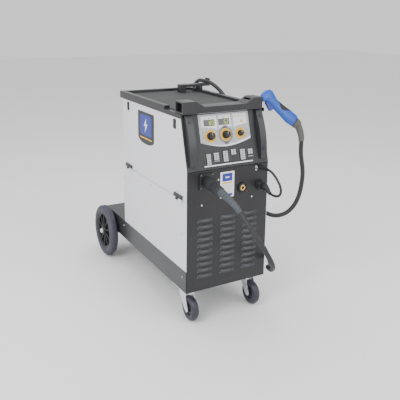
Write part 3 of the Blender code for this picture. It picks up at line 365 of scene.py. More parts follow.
TORCH_CABLE_DIAMETER = 0.0195
POLARITY_DIAMETER = 0.0105
BOOT_SPOTS = [(-0.1100, -0.1120, 0.6150), (-0.1100, -0.1500, 0.6090), (-0.1090, -0.1880, 0.6000),
              (-0.1070, -0.2220, 0.5870), (-0.1046, -0.2508, 0.5698)]
TORCH_CABLE_ROUTE = [
    (-0.1042, -0.2548, 0.5674), (-0.1028, -0.2719, 0.5572), (-0.0975, -0.3026, 0.5337),
    (-0.0751, -0.3441, 0.4790), (-0.0217, -0.3476, 0.3879), (0.0341, -0.2718, 0.3216),
    (0.0670, -0.2041, 0.2973), (0.1192, -0.1485, 0.2531), (0.1590, -0.1026, 0.2308),
    (0.1912, -0.0551, 0.2225), (0.2191, -0.0032, 0.2246), (0.2424, 0.0571, 0.2372),
    (0.2513, 0.1267, 0.2575), (0.2353, 0.2320, 0.2789), (0.2355, 0.3483, 0.2987),
    (0.2367, 0.4689, 0.3461), (0.2354, 0.5821, 0.4278), (0.2338, 0.6836, 0.5367),
    (0.2315, 0.7552, 0.6556), (0.2239, 0.7791, 0.7776), (0.2210, 0.7450, 0.8840),
    (0.2188, 0.6720, 0.9488), (0.2188, 0.6050, 0.9582), (0.2188, 0.5350, 0.9549),
    (0.2190, 0.4500, 0.9290), (0.2202, 0.3692, 0.8823), (0.2288, 0.2929, 0.8105),
    (0.2324, 0.2225, 0.7104), (0.2216, 0.1716, 0.6056), (0.2147, 0.1271, 0.4890),
    (0.2304, 0.0737, 0.4255), (0.2709, 0.0315, 0.4052), (0.3195, -0.0010, 0.4267),
    (0.3561, -0.0212, 0.4918), (0.3799, -0.0164, 0.5924), (0.3790, 0.0013, 0.6896),
    (0.3788, 0.0028, 0.7446),
]
POLARITY_ROUTE = [
    (0.1600, -0.0470, 0.6560), (0.1602, -0.0720, 0.6530), (0.1608, -0.1020, 0.6400), (0.1615, -0.1340, 0.6130),
    (0.1615, -0.1455, 0.5900), (0.1605, -0.1410, 0.5700), (0.1590, -0.1240, 0.5590), (0.1575, -0.1030, 0.5560),
    (0.1570, -0.0845, 0.5575),
]


def line_piece(name, points, diameter, surface, node):
    """A cable as a curve with a round section, in the place of its CAD solid."""
    data = bpy.data.curves.new(name, "CURVE")
    data.dimensions = "3D"
    data.bevel_depth = diameter / 2
    data.bevel_resolution = 5
    data.use_fill_caps = True
    line = data.splines.new("POLY")
    line.points.add(len(points) - 1)
    for spot, p in zip(line.points, points):
        spot.co = (*(CAB @ p), 1.0)
    line.use_smooth = True
    data.materials.append(surface)
    piece = bpy.data.objects.new(name, data)
    bpy.context.scene.collection.objects.link(piece)
    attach(piece, "root")
    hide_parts(node)
    return piece


def plug_and_boot():
    """The torch's connector: a knurled nut, a ribbed body with a step, and a ringed boot."""
    droop = math.radians(8)
    at = axes((-0.1100, -0.0160, 0.6280), (1, 0, 0), (0, -math.sin(droop), math.cos(droop)))
    shape = Shape(CAB)
    shape.lathe([(0.0205, 0.0002), (0.0235, 0.0018), (0.0243, 0.0045), (0.0243, 0.0130)], 0, at, 108, 27, 0.0011)
    shape.lathe([(0.0243, 0.0132), (0.0243, 0.0350), (0.0236, 0.0375), (0.0205, 0.0385)], 0, at, 108, 27, 0.0011)
    shape.lathe([(0.0195, 0.0010), (0.0225, 0.0132), (0.0218, 0.0380), (0.0212, 0.0420), (0.0205, 0.0600)], 0, at)
    shape.lathe([(0.0206, 0.0400), (0.0214, 0.0440), (0.0214, 0.0640), (0.0207, 0.0900), (0.0198, 0.1000),
                 (0.0183, 0.1045), (0.0120, 0.1048)], 0, at, 120, 30, 0.0007)
    line = smooth_line(BOOT_SPOTS, 0.0012)
    radii = []
    for i in range(len(line)):
        t = i / (len(line) - 1)
        core = 0.0178 * (1 - 0.36 * t)
        ridge = 0.5 - 0.5 * math.cos(2 * math.pi * t * 9)
        radii.append(core - (0.0016 * ridge if t > 0.10 else 0.0))
    radii[-1] *= 0.93
    shape.loft(sweep(line, radii, 28), 1)
    return shape.make("torch_plug", "root", [PLUG, BOOT], "black_moulded_plastic", sharp=50, replaces=["euro_plug"])


def lead_plug():
    """The plug on the polarity lead: a collar, a ribbed grip and a soft sleeve."""
    at = axes((0.157, 0, 0.577), (1, 0, 0), (0, 0, 1))
    shape = Shape(CAB)
    shape.lathe([(0.0120, 0.0093), (0.0163, 0.0096), (0.0165, 0.0170), (0.0152, 0.0185)], 0, at)
    shape.lathe([(0.0110, 0.0180), (0.0149, 0.0190), (0.0149, 0.0455), (0.0135, 0.0480), (0.0100, 0.0485)],
                0, at, 96, 16, 0.0012)
    line = smooth_line([(0.157, -0.0400, 0.5770), (0.157, -0.0500, 0.5755), (0.157, -0.0620, 0.5690),
                        (0.157, -0.0720, 0.5610), (0.157, -0.0820, 0.5580)], 0.0010)
    radii = []
    for i in range(len(line)):
        t = i / (len(line) - 1)
        radii.append(0.0128 * (1 - 0.42 * t) - (0.0008 * (0.5 - 0.5 * math.cos(2 * math.pi * 6 * t)) if t > 0.3 else 0))
    shape.loft(sweep(line, radii, 24), 1)
    return shape.make("polarity_plug", "root", [PLASTIC, RUBBER], "black_moulded_plastic", sharp=50,
                      replaces=["dinse_plug"])


def torch_relief():
    """The collar at the handle's end and the ringed sleeve that the cable leaves by."""
    line = smooth_line([(0.1850, 0, 0.0006), (0.2025, 0, -0.0005), (0.2205, 0.0009, -0.0063),
                        (0.2397, 0.0029, -0.0177), (0.2546, 0.0047, -0.0304), (0.2669, 0.0088, -0.0433)], 0.0010)
    radii = []
    for i in range(len(line)):
        t = i / (len(line) - 1)
        if t < 0.20:
            core = 0.0228 - 0.004 * t
        else:
            core = 0.0175 - 0.0045 * (t - 0.20) / 0.80
        if 0.20 <= t < 0.27:
            core += 0.0045 * (1 - (t - 0.20) / 0.07)
        radii.append(core - (0.0013 * (0.5 - 0.5 * math.cos(2 * math.pi * 8 * (t - 0.27) / 0.73)) if t > 0.27 else 0))
    radii[0] *= 0.95
    shape = Shape(TORCH)
    shape.loft(sweep(line, radii, 32))
    return shape.make("torch_sleeve", "root", [RELIEF], "charcoal_moulded_plastic", sharp=50,
                      replaces=["torch_relief"])


torch_line = smooth_line(BOOT_SPOTS + TORCH_CABLE_ROUTE[1:], 0.012)
polarity_line = smooth_line(POLARITY_ROUTE, 0.005)
torch_cord = line_piece("torch_lead", torch_line, TORCH_CABLE_DIAMETER, RUBBER, "torch_cable")
polarity_cord = line_piece("polarity_lead", polarity_line, POLARITY_DIAMETER, RUBBER, "polarity_cable")
plug_and_boot()
torch_relief()
lead_plug()


# ---------------------------------------------------------------- front panel

LOUVRE_COLUMNS = (-0.1105, 0.0005, 0.1115)
LOUVRE_ROWS, LOUVRE_PITCH, LOUVRE_TOP = 10, 0.0275, 0.457


def louvres():
    """Pressed hoods over the slots, pointed at both ends and open underneath. They take the skirt's lighter finish as a
    painted highlight on the black panel's pressings, and each has a dull-steel dot at its left end as a painted
    highlight.
    """
    shape = Shape(FRONT)
    across, down, sheet = 16, 6, 0.0012
    for x in LOUVRE_COLUMNS:
        for row in range(LOUVRE_ROWS):
            z = LOUVRE_TOP - row * LOUVRE_PITCH
            skins = []
            for inset in (0.0, sheet):
                for j in range(down + 1):
                    v = j / down
                    for i in range(across + 1):
                        u = 2 * i / across - 1
                        swell = (1 - abs(u) ** 3.2) * math.sin(v * math.pi / 2)
                        top = z + 0.0118 - 0.0035 * abs(u) ** 2
                        skins.append((x + u * 0.0365, top - v * (0.0125 + 0.0020 * (1 - abs(u))),
                                      max(0.0085 * swell - inset, -0.0004) + 0.0002))
            n, half = across + 1, (across + 1) * (down + 1)
            faces = []
            for j in range(down):
                for i in range(across):
                    a = j * n + i
                    faces += [(a, a + 1, a + n + 1, a + n), (half + a, half + a + n, half + a + n + 1, half + a + 1)]
            edge = ([i for i in range(n)] + [j * n + across for j in range(1, down + 1)]
                    + [down * n + i for i in range(across - 1, -1, -1)] + [j * n for j in range(down - 1, 0, -1)])
            faces += [(a, b, half + b, half + a) for a, b in zip(edge, edge[1:] + edge[:1])]
            shape.add(skins, faces)
            # a dull-steel dot at each hood's left end: a painted highlight where the hood's end catches the light
            shape.lathe([(0.0022, 0.0), (0.0018, 0.0012), (0, 0.0016)], 1,
                        Matrix.Translation((x - 0.0355, z - 0.0015, 0)), 10)
    # the hoods get the skirt's lighter finish, not the panel's black: painted highlight on the pressings
    shape.make("louvre_hoods", "root", [SKIRT, DULL], "black_powder_coat", sharp=50)


def front_label():
    """A plain plate with a blue block, a yellow line and rules, and no lettering."""
    shape = Shape(FRONT)
    shape.slab(rounded(0.068, 0.112, 0.002, -0.008, 0.600), 0.0001, 0.0008, 0)
    shape.slab(rounded(0.048, 0.034, 0.003, -0.008, 0.632), 0.0009, 0.0011, 1)
    shape.slab(rounded(0.020, 0.006, 0.0025, -0.008, 0.632), 0.0012, 0.0014, 0)
    shape.slab(rounded(0.048, 0.006, 0.001, -0.008, 0.6075), 0.0009, 0.0011, 2)
    for k, width in enumerate((0.046, 0.040, 0.044, 0.030)):
        shape.slab(rounded(width, 0.0022, 0.0008, -0.008, 0.595 - 0.0085 * k), 0.0009, 0.0011, 3)
    shape.slab(rounded(0.050, 0.0100, 0.002, -0.008, 0.5555), 0.0009, 0.0011, 1)
    shape.make("front_label", "root", [PAPER, NAVY, YELLOW, CELL], "white_powder_coat")


TORCH_SOCKET_X, TORCH_SOCKET_Z, FLANGE_SCREW = -0.110, 0.629, 0.027
BAYONETS = {"free": 0.067, "used": 0.157}
BAYONET_Z = 0.577


def front_fittings():
    """The panel's and the torch socket's screws, the fitting by the gland, and both bayonet sockets."""
    screws = Shape(FRONT)
    for x, z in ((-0.051, 0.626), (-0.129, 0.527), (0.118, 0.529), (0.137, 0.646)):
        screws.screw(x, z, 0.0042)
    for x in (TORCH_SOCKET_X - FLANGE_SCREW, TORCH_SOCKET_X + FLANGE_SCREW):
        for z in (TORCH_SOCKET_Z - FLANGE_SCREW, TORCH_SOCKET_Z + FLANGE_SCREW):
            screws.screw(x, z, 0.0032, 1, 0.0075)
    screws.lathe([(0.0052, 0.0), (0.0052, 0.006), (0.0038, 0.0068), (0.0038, 0.0120), (0.0026, 0.0126),
                  (0.0024, 0.0090), (0, 0.0088)], 0, Matrix.Translation((0.1330, 0.6600, 0)), 20)
    screws.make("front_screws", "root", [STEEL, DULL], "zinc_plated_steel")
    for name, x in BAYONETS.items():
        socket = Shape(FRONT)
        at = Matrix.Translation((x, BAYONET_Z, 0))
        socket.lathe([(0.0224, 0.0004), (0.0224, 0.0040), (0.0208, 0.0086), (0.0190, 0.0092), (0.0165, 0.0090),
                      (0.0158, 0.0060), (0.0128, 0.0060), (0.0128, 0.0004)], 0, at, 64, closed=True)
        for k in range(8):
            a = math.pi / 4 * k + math.pi / 8
            socket.slab(rounded(0.0034, 0.0052, 0.0010), 0.0070, 0.0098, 0, at @ Matrix.Rotation(a, 4, "Z")
                        @ Matrix.Translation((0.0205, 0, 0)))
        socket.lathe([(0.0124, 0.0004), (0.0124, 0.0072), (0.0112, 0.0080), (0.0070, 0.0080), (0.0062, 0.0070),
                      (0.0062, 0.0004)], 1, at, 40, closed=True)
        if name == "free":
            dot = Matrix.Translation((0.092, 0.557, 0))
            socket.lathe([(0.0024, 0.0), (0.0022, 0.0006), (0, 0.0007)], 2, dot, 12)
        socket.make("socket_trim_" + name, "root", [PLASTIC, BRASS, RED], "black_moulded_plastic", sharp=40,
                    replaces=["dinse_socket_" + name])


# ---------------------------------------------------------------- control panel

SEGMENTS = {"0": "abcdef", "2": "abged", "6": "afgedc", "8": "abcdefg"}
KNOBS = {  # middle, radius, height
    "wire_speed_knob": (-0.0725, 0.1330, 0.0170, 0.020), "voltage_knob": (0.0005, 0.1335, 0.0170, 0.022),
    "trim_knob": (0.0722, 0.1338, 0.0128, 0.016),
}
KNOB_BODY = {"wire_speed_knob": "wire_speed_control", "voltage_knob": "voltage_control", "trim_knob": "trim_control"}
DIAL_RINGS = ((0.0172, 0.0268), (0.0172, 0.0268), (0.0130, 0.0248))
DISPLAY_Y = 0.188


def digit(shape, character, x, y, width, height, low, kind):
    """A seven-segment figure."""
    t = width * 0.24
    h, w = height / 2, width / 2
    bars = {"a": (0, h, 1), "g": (0, 0, 1), "d": (0, -h, 1), "f": (-w, h / 2, 0), "b": (w, h / 2, 0),
            "e": (-w, -h / 2, 0), "c": (w, -h / 2, 0)}
    for key in SEGMENTS[character]:
        bx, by, flat = bars[key]
        size = (width - t * 0.9, t) if flat else (t, h - t * 0.9)
        shape.slab(rounded(*size, t * 0.3, x + bx, y + by, 2), low, low + 0.0002, kind)


def control_face():
    """The printed film: white fields, display windows, lamps, dial rings and scales."""
    up = reach("control_overlay", SLOPE)
    shape = Shape(SLOPE)
    white, window, lit, yellow, ink, grey, amber = range(7)
    fields = [
        [(-0.1100, 0.2165), (-0.0365, 0.2165), (-0.0365, 0.1600), (-0.0560, 0.1650), (-0.1100, 0.1730)],
        [(-0.0265, 0.2165), (0.0320, 0.2165), (0.0320, 0.1640), (0.0000, 0.1720), (-0.0265, 0.1640)],
        [(0.0440, 0.2175), (0.1100, 0.2175), (0.1100, 0.1740), (0.0560, 0.1650), (0.0440, 0.1600)],
    ]
    for outline in fields:
        shape.slab(outline, up, up + 0.0003, white)
    steps = 16
    upper = [(-0.120 + 0.242 * i / steps, 0.1105 - 0.0200 * math.sin(math.pi * i / steps) + 0.010 * i / steps)
             for i in range(steps + 1)]
    lower = [(0.1195 * (2 * i / steps - 1), 0.1090 - 0.023 * math.cos(math.pi / 2 * (2 * i / steps - 1)))
             for i in range(steps + 1)]
    shape.slab([(x, y - 0.003) for x, y in upper] + lower[::-1], up, up + 0.0003, white)
    for x, figures in ((-0.0727, "80"), (-0.0015, "62")):
        shape.slab(rounded(0.0525, 0.0265, 0.0015, x, DISPLAY_Y), up + 0.0003, up + 0.0008, window)
        for k, figure in enumerate(figures):
            digit(shape, figure, x + 0.0045 + 0.0130 * k, DISPLAY_Y, 0.0080, 0.0150, up + 0.0008, lit)
        shape.slab(rounded(0.006, 0.003, 0.0008, x, 0.2065), up + 0.0003, up + 0.0005, ink)
    for k, x in enumerate((0.050, 0.060, 0.072, 0.083, 0.095)):
        shape.lathe([(0.0023, up + 0.0003), (0.0020, up + 0.0010), (0, up + 0.0012)], amber if k in (1, 3) else ink,
                    Matrix.Translation((x, 0.2050, 0)), 12)
    for (x, y, _, _), (inner, outer) in zip(KNOBS.values(), DIAL_RINGS):
        shape.ring(inner, outer, up, up + 0.0006, yellow, Matrix.Translation((x, y, 0)), 48)
    shape.ring(0.0272, 0.0345, up, up + 0.0009, grey, Matrix.Translation((0.0005, 0.1335, 0)), 48)
    for y in (0.1660, 0.0985):
        shape.slab(rounded(0.020, 0.012, 0.003, 0.0005, y), up, up + 0.0009, grey)
        shape.slab(rounded(0.008, 0.004, 0.0015, 0.0005, y), up + 0.0009, up + 0.0011, ink)
    for cx, cy, r in ((-0.0725, 0.1330, 0.0240), (0.0722, 0.1338, 0.0218)):
        for k in range(11):
            a = math.pi - math.radians(27 * k - 225)
            spot = Matrix.Translation((cx, cy, 0)) @ Matrix.Rotation(a, 4, "Z") @ Matrix.Translation((r, 0, 0))
            shape.slab(rounded(0.0034, 0.0009, 0.0003, 0, 0, 2), up + 0.0006, up + 0.0008, ink, spot)
    for x, y in ((-0.105, 0.150), (-0.105, 0.131), (-0.040, 0.150), (0.040, 0.150), (0.104, 0.150), (0.104, 0.131)):
        shape.slab(rounded(0.0045, 0.0045, 0.001, x, y), up, up + 0.0002, ink)
    shape.make("control_print", "root", [PAPER, GLASS, SEGMENT, YELLOW, INK, DULL, AMBER], "silver_front_film")


CHART_RISE = 0.0052
CHART_PITCH = 0.0074
CHART_COLUMNS = (  # middle, width, foot, rows
    (-0.0945, 0.020, 0.0180, 6), (-0.0578, 0.0245, 0.0345, 4), (-0.0138, 0.0235, 0.0230, 6),
    (0.0260, 0.024, 0.0480, 3), (0.0700, 0.024, 0.0220, 6), (0.1090, 0.024, 0.0420, 3),
)


def welding_chart():
    """The chart under the film, blocks of pale cells between two bright lines, with nothing written in it."""
    base = CHART_RISE
    shape = Shape(SLOPE)
    for x, width, low, rows in CHART_COLUMNS:
        for k in range(rows):
            y = low + CHART_PITCH * k + 0.003
            for side in (-1, 1):
                cell = rounded(width / 2 - 0.0012, 0.0060, 0.0004, x + side * width / 4, y, 2)
                shape.slab(cell, base, base + 0.0003, 0)
    for x, y in ((-0.0578, 0.0290), (0.1090, 0.0325)):
        shape.slab(rounded(0.025, 0.0026, 0.0006, x, y), base, base + 0.0003, 0)
    for x in (-0.1120, -0.0780, -0.0340, 0.0040, 0.0480, 0.0885):
        for k in range(6):
            shape.slab(rounded(0.0040, 0.0010, 0.0003, x, 0.024 + CHART_PITCH * k, 2), base, base + 0.0002, 2)
    shape.slab(rounded(0.236, 0.0052, 0.0015, -0.001, 0.0120), base - 0.0002, base + 0.0006, 1)
    shape.slab(rounded(0.242, 0.0028, 0.0010, -0.0035, 0.2290), base - 0.0002, base + 0.0010, 1)
    shape.make("chart_print", "root", [CELL, ALUMINIUM, DULL], "silver_front_film")


def knobs():
    """Fluted turning knobs with a skirt and a pointer line."""
    for name, (x, y, radius, height) in KNOBS.items():
        at = Matrix.Translation((x, y, 0))
        top = reach(name, SLOPE)
        foot = top - height + 0.0008
        shape = Shape(SLOPE)
        shape.lathe([(radius * 0.90, foot), (radius, foot + 0.0008), (radius, foot + 0.0030),
                     (radius * 0.90, foot + 0.0042)], 0, at, 48)
        shape.lathe([(radius * 0.90, foot + 0.0030), (radius * 0.86, top - 0.0025), (radius * 0.80, top - 0.0006),
                     (radius * 0.66, top), (radius * 0.60, top - 0.0006), (0, top - 0.0008)], 0, at, 96, 16, 0.0011)
        shape.slab(rounded(0.0014, radius * 0.55, 0.0004, 0, radius * 0.42), top - 0.0009, top - 0.0003, 1, at)
        shape.make(name.replace("_knob", "_dial"), KNOB_BODY[name], [PLASTIC, CELL], "black_moulded_plastic", sharp=45,
                   replaces=[name])


def grips():
    """Screw recesses in the two side grips."""
    shape = Shape(SLOPE)
    back = SLOPE.inverted()
    for node, x, spots in (("grip_left", -0.1710, (0.1950, 0.0560)), ("grip_right", 0.1710, (0.1975, 0.0575))):
        for y in spots:
            near = [(back @ v.co) for v in NODES[node].data.vertices]
            up = max(v.z for v in near if abs(v.y - y) < 0.03)
            shape.ring(0.0042, 0.0062, up - 0.0100, up - 0.0002, 0, Matrix.Translation((x, y, 0)), 24)
            shape.lathe([(0.0042, up - 0.0090), (0.0042, up - 0.0012), (0, up - 0.0014)], 1,
                        Matrix.Translation((x, y, 0)), 24)
    shape.make("grip_plugs", "root", [GRIP, PLASTIC], "charcoal_moulded_plastic", sharp=40)


# ---------------------------------------------------------------- sides

HINGES = (0.069, 0.600)
HINGE_LIFT, HINGE_THICK = 0.0005, 0.0042
LATCHES = (0.107, 0.604)
DIMPLES = [(0.196, 0.851 - 0.0704 * k) for k in range(9)] + [(0.100, 0.778 - 0.0701 * k) for k in range(8)]


def side_details():
    """The left side's dimples with a painted shade dot above each, shield, latch frames, hinge covers and screws, and
    the right side's screws.
    """
    door, panel = Shape(LEFT), Shape(LEFT)
    for y, z in DIMPLES:
        target = door if z > SEAM_Z else panel
        if 0.588 > z > 0.508 and y < 0.15:  # the front hinge sits here
            continue
        target.lathe([(0.0046, 0.0), (0.0036, 0.0011), (0.0024, 0.0012), (0.0014, 0.0004), (0, 0.0003)], 0,
                     Matrix.Translation((-y, z, 0)), 20)
        # a grey dot just above each dimple: painted shade on the emboss's upper side
        target.lathe([(0.0019, 0.0), (0.0016, 0.0003), (0, 0.0003)], 1, Matrix.Translation((-y, z + 0.0078, 0)), 10)
    shield = [(-0.309, 0.857), (-0.485, 0.857), (-0.485, 0.735)]
    shield += [(-0.397 - 0.088 * math.cos(math.pi * k / 14), 0.735 - 0.026 * math.sin(math.pi * k / 14))
               for k in range(1, 14)]
    shield += [(-0.309, 0.735)]
    door.slab(shield, 0.0001, 0.0010, 2)
    door.slab(rounded(0.128, 0.094, 0.012, -0.397, 0.797), 0.0010, 0.0013, 3)
    bolt = [(0.006, 0.034), (-0.020, -0.004), (-0.003, -0.004), (-0.008, -0.034), (0.020, 0.006), (0.003, 0.006)]
    door.slab([(-0.397 + x, 0.797 + y) for x, y in bolt], 0.0013, 0.0016, 4)
    door.slab(rounded(0.128, 0.006, 0.002, -0.397, 0.736), 0.0010, 0.0013, 5)
    for y in LATCHES:
        door.loft([[(px, py, h) for px, py in rounded(w, t, 0.003, -y, 0.856)] for w, t, h in
                   ((0.0250, 0.0410, 0.0001), (0.0250, 0.0410, 0.0012), (0.0222, 0.0382, 0.0016),
                    (0.0206, 0.0366, 0.0016), (0.0202, 0.0362, 0.0001))], 6, closed=True)
    door.make("door_details", "door", [WHITE, CELL, BEZEL, NAVY, PAPER, YELLOW, PLASTIC], "white_powder_coat")
    panel.make("panel_dimples", "root", [WHITE, CELL], "white_powder_coat")
    hinges = Shape(LEFT)
    for y in HINGES:
        for dy in (-0.020, 0.020):
            outline = [(-y + dy - 0.013, SEAM_Z + 0.006), (-y + dy + 0.013, SEAM_Z + 0.006),
                       (-y + dy + 0.013, SEAM_Z + 0.019), (-y + dy - 0.013, SEAM_Z + 0.019)]
            hinges.slab(outline, HINGE_LIFT, HINGE_LIFT + HINGE_THICK, 0)
            hinges.screw(-y + dy, SEAM_Z + 0.0125, 0.0034, 1, HINGE_LIFT + HINGE_THICK)
    hinges.make("hinge_covers", "door", [PLASTIC, DULL], "black_moulded_plastic", bevel=0.0008)
    screws = Shape(LEFT)
    for y, z, kind in ((0.659, 0.484, 1), (0.339, 0.530, 1), (0.640, 0.262, 1), (0.040, 0.400, 1),
                       (0.686, 0.218, 0), (0.030, 0.213, 0)):
        radius, out = (0.0046, 0.0022) if kind == 0 else (0.0024, 0.0)
        screws.screw(-y, z, radius, kind, out)
    screws.make("side_screws", "root", [STEEL, DULL], "zinc_plated_steel")
    right = Shape(RIGHT)
    for y in (0.040, 0.338, 0.640):
        for z in (0.270, 0.560):
            right.screw(y, z, 0.0040, 0)
    right.make("right_screws", "root", [STEEL], "zinc_plated_steel")


def rear_details():
    """The rear sheet's screws."""
    screws = Shape(REAR)
    for x in (-0.180, 0.180):
        for z in (0.285, 0.500, 0.720, 0.860):
            screws.screw(x, z, 0.0040, 0)
    screws.make("rear_screws", "root", [STEEL], "zinc_plated_steel")


# ---------------------------------------------------------------- torch

STATIONS = [  # along the handle, top, bottom, half thickness
    (-0.0150, -0.0040, -0.0160, 0.0060), (-0.0140, 0.0070, -0.0230, 0.0105), (-0.0100, 0.0180, -0.0300, 0.0140),
    (-0.0030, 0.0270, -0.0350, 0.0158), (0.0040, 0.0330, -0.0370, 0.0166), (0.0130, 0.0362, -0.0300, 0.0170),
    (0.0200, 0.0350, -0.0240, 0.0170), (0.0280, 0.0320, -0.0218, 0.0166), (0.0430, 0.0250, -0.0202, 0.0158),
    (0.0590, 0.0193, -0.0216, 0.0152), (0.0850, 0.0205, -0.0232, 0.0155), (0.1100, 0.0225, -0.0246, 0.0160),
    (0.1340, 0.0260, -0.0268, 0.0165), (0.1500, 0.0285, -0.0288, 0.0168), (0.1650, 0.0303, -0.0275, 0.0170),
    (0.1760, 0.0300, -0.0258, 0.0170), (0.1820, 0.0262, -0.0243, 0.0165),
]


def section(station, along, grow=0.0):
    """One rounded cross-section of the handle, and its point at an angle from the top."""
    x, top, bottom, half = station
    middle, tall = (top + bottom) / 2, (top - bottom) / 2 + grow
    c, s = math.cos(along), math.sin(along)
    power = 2 / 2.7
    return (x, (half + grow) * math.copysign(abs(s) ** power, s), middle + tall * math.copysign(abs(c) ** power, c))


def between(x):
    """The handle's station at any place along it."""
    for a, b in zip(STATIONS, STATIONS[1:]):
        if a[0] <= x <= b[0]:
            t = (x - a[0]) / (b[0] - a[0])
            return tuple(p + (q - p) * t for p, q in zip(a, b))
    return STATIONS[-1]


PAD_START, PAD_END, PAD_TOP = 0.0565, 0.1465, 0.12
PAD_EDGE = [  # along the handle, the pad's lower edge as an angle from the top
    (0.056, 0.30), (0.062, 0.62), (0.080, 1.50), (0.098, 1.70), (0.118, 1.42), (0.132, 0.92), (0.147, 0.34),
]


def torch():
    """The handle and its two soft pads."""
    shape = Shape(TORCH)
    places = [STATIONS[0][0] + (STATIONS[-1][0] - STATIONS[0][0]) * (k / 60) for k in range(61)]
    places = sorted(set(places[1:-1]) | {s[0] for s in STATIONS[:4]} | {STATIONS[-1][0]})
    shape.loft([[section(between(x), 2 * math.pi * k / 36) for k in range(36)] for x in places])
    for side in (-1, 1):
        rows = []
        for k in range(31):
            x = PAD_START + (PAD_END - PAD_START) * k / 30
            a, b = next((p, q) for p, q in zip(PAD_EDGE, PAD_EDGE[1:]) if p[0] <= x <= q[0])
            limit = a[1] + (b[1] - a[1]) * (x - a[0]) / (b[0] - a[0])
            spread = [PAD_TOP + (limit - PAD_TOP) * j / 8 for j in range(9)]
            outer = [section(between(x), side * t, 0.0009) for t in spread]
            inner = [section(between(x), side * t, -0.0008) for t in reversed(spread)]
            rows.append(outer + inner)
        shape.loft(rows, 1)
    shape.make("torch_grip", "root", [BLUE, PLASTIC], "blue_moulded_plastic", sharp=45, replaces=["torch_handle"])


# ---------------------------------------------------------------- wheels

REAR_HUB = (0.236, 0.864, 0.136)
CASTER_HUB = (0.157, 0.037, 0.055)
BLADES = 10


def wheel_frame(sign):
    """A frame at a rear wheel's hub with its third axis along the axle, pointing out."""
    x, y, z = REAR_HUB
    return CAB @ axes((sign * x, y, z), (0, 0, 1), (0, -sign, 0))


def rear_wheels():
    """Ribbed tyres on ten-bladed rims, with bright hub caps."""
    blade = [(0.0235, -0.0032), (0.0890, -0.0022), (0.0890, 0.0022), (0.0235, 0.0032)]
    for side, sign in (("left", -1), ("right", 1)):
        shape = Shape(wheel_frame(sign))
        tyre = [(0.0985, -0.0165), (0.1030, -0.0205), (0.1120, -0.0218), (0.1150, -0.0208), (0.1175, -0.0216),
                (0.1270, -0.0196), (0.1325, -0.0160), (0.1354, -0.0100), (0.1360, -0.0042), (0.1348, -0.0034),
                (0.1348, -0.0022), (0.1360, -0.0014), (0.1360, 0.0014), (0.1348, 0.0022), (0.1348, 0.0034),
                (0.1360, 0.0042), (0.1354, 0.0100), (0.1325, 0.0160), (0.1270, 0.0196), (0.1175, 0.0216),
                (0.1150, 0.0208), (0.1120, 0.0218), (0.1030, 0.0205), (0.0985, 0.0165)]
        shape.lathe(tyre, 0, None, 96, closed=True)
        shape.lathe([(0.0860, -0.0160), (0.1000, -0.0165), (0.1000, 0.0165), (0.0950, 0.0170), (0.0900, 0.0120),
                     (0.0860, 0.0100)], 1, None, 96, closed=True)
        shape.lathe([(0.0180, -0.0040), (0.0880, -0.0040), (0.0880, 0.0010), (0.0180, 0.0010)], 1, None, 64,
                    closed=True)
        shape.lathe([(0.0104, -0.0215), (0.0230, -0.0215), (0.0250, -0.0150), (0.0250, 0.0150), (0.0220, 0.0205),
                     (0.0104, 0.0210)], 1, None, 48, closed=True)
        for k in range(BLADES):
            at = Matrix.Rotation(math.tau * k / BLADES, 4, "Z")
            shape.slab(blade, 0.0005, 0.0130, 1, at)
            shape.slab(blade, -0.0150, -0.0035, 1, at)
        shape.make("wheel_" + side + "_tyre", "wheel_" + side, [TYRE, PLASTIC], "tyre_rubber", sharp=35,
                   replaces=["rear_wheel_" + side])
        cap = Shape(wheel_frame(sign))
        cap.lathe([(0.0135, 0.0222), (0.0135, 0.0262), (0.0118, 0.0298), (0.0075, 0.0318), (0, 0.0322)], 0, None, 32)
        cap.make("hub_cap_" + side, "wheel_" + side, [STEEL], "zinc_plated_steel", sharp=50)


def casters():
    """Rounded treads on their hubs."""
    x, y, z = CASTER_HUB
    for side, sign in (("left", -1), ("right", 1)):
        shape = Shape(CAB @ axes((sign * x, y, z), (0, 0, 1), (0, -1, 0)))
        tread = [(0.0300, -0.0120), (0.0400, -0.0165), (0.0475, -0.0155), (0.0525, -0.0105), (0.0548, -0.0040),
                 (0.0550, 0.0000), (0.0548, 0.0040), (0.0525, 0.0105), (0.0475, 0.0155), (0.0400, 0.0165),
                 (0.0300, 0.0120)]
        shape.lathe(tread, 0, None, 64, closed=True)
        shape.lathe([(0.0064, -0.0165), (0.0140, -0.0165), (0.0150, -0.0090), (0.0310, -0.0080), (0.0310, 0.0080),
                     (0.0150, 0.0090), (0.0140, 0.0165), (0.0064, 0.0165)], 1, None, 48, closed=True)
        shape.make("caster_" + side + "_tyre", "caster_roller_" + side, [CASTER, BEZEL], "tyre_rubber", sharp=40,
                   replaces=["caster_wheel_" + side])


# ---------------------------------------------------------------- inside

SPOOL_HUB = (0, 0.470, 0.700)
SPOOL_ENDS = (-0.162, -0.062)
WIRE_TURNS = 46


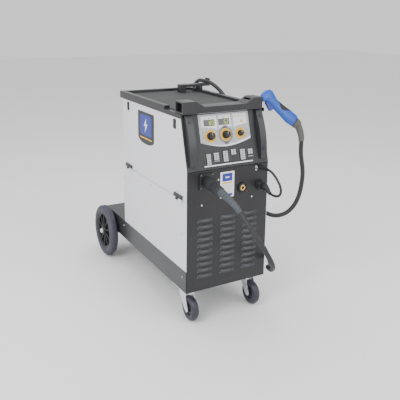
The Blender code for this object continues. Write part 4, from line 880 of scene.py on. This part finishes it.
def spool():
    """The wire spool: two flanges with spokes, and the wound wire between them."""
    shape = Shape(CAB @ axes(SPOOL_HUB, (0, 1, 0), (0, 0, 1)))
    left, right = SPOOL_ENDS
    for face, inward in ((left, 1), (right, -1)):
        a, b = sorted((face, face + inward * 0.004))
        shape.ring(0.1180, 0.1500, a, b, 0, None, 96)
        shape.ring(0.0265, 0.0560, a, b, 0, None, 64)
        for k in range(6):
            at = Matrix.Rotation(math.tau * k / 6, 4, "Z")
            shape.slab([(0.0540, -0.012), (0.1200, -0.018), (0.1200, 0.018), (0.0540, 0.012)], a, b, 0, at)
        rim = (face, face + inward * 0.007)
        shape.ring(0.1465, 0.1500, min(rim), max(rim), 0, None, 96)
    shape.ring(0.0265, 0.0560, left + 0.004, right - 0.004, 0, None, 64)
    wound = [(0.0565, left + 0.0045)]
    for k in range(WIRE_TURNS * 2 + 1):
        h = left + 0.0045 + (right - left - 0.009) * k / (WIRE_TURNS * 2)
        wound.append((0.1280 - (0.0010 if k % 2 == 0 else 0.0), h))
    wound.append((0.0565, right - 0.0045))
    shape.lathe(wound, 1, None, 72, closed=True)
    shape.make("spool_with_wire", "spool", [PLASTIC, WIRE], "black_moulded_plastic", sharp=60, replaces=["wire_spool"])


# ---------------------------------------------------------------- stage

FLOOR_HALF = 14.0
AIM = (0.0, 0.0, 0.45)
LAMPS = (("key", (-3.2, -1.6, 3.2), 2.4, 130), ("front_fill", (1.2, -3.6, 2.4), 2.6, 60),
         ("top", (0.2, 0.6, 3.6), 2.4, 45))


def lamp(name, place, size, power):
    """A square soft lamp turned to the machine."""
    data = bpy.data.lights.new(name, "AREA")
    data.size = size
    data.energy = power
    made = bpy.data.objects.new(name, data)
    bpy.context.scene.collection.objects.link(made)
    made.location = place
    made.rotation_euler = (Vector(AIM) - Vector(place)).to_track_quat("-Z", "Y").to_euler()


def stage():
    """A plain pale floor, an even white surround and three soft lamps."""
    mesh = bpy.data.meshes.new("floor")
    size = FLOOR_HALF
    mesh.from_pydata([(-size, -size, 0), (size, -size, 0), (size, size, 0), (-size, size, 0)], [], [(0, 1, 2, 3)])
    floor = bpy.data.objects.new("floor", mesh)
    bpy.context.scene.collection.objects.link(floor)
    floor.data.materials.append(finish("pale_floor", (0.90, 0.90, 0.90), 0.80, grain=60, bump=0.02, drift=0.004))
    world = bpy.data.worlds.new("studio")
    world.use_nodes = True
    sky = world.node_tree.nodes["Background"]
    sky.inputs[0].default_value = (1.0, 1.0, 1.0, 1.0)
    sky.inputs[1].default_value = 1.0
    bpy.context.scene.world = world
    for one in LAMPS:
        lamp(*one)


dress_nodes()
louvres()
front_label()
front_fittings()
control_face()
welding_chart()
knobs()
grips()
side_details()
rear_details()
torch()
rear_wheels()
casters()
spool()
stage()

bpy.context.view_layer.update()
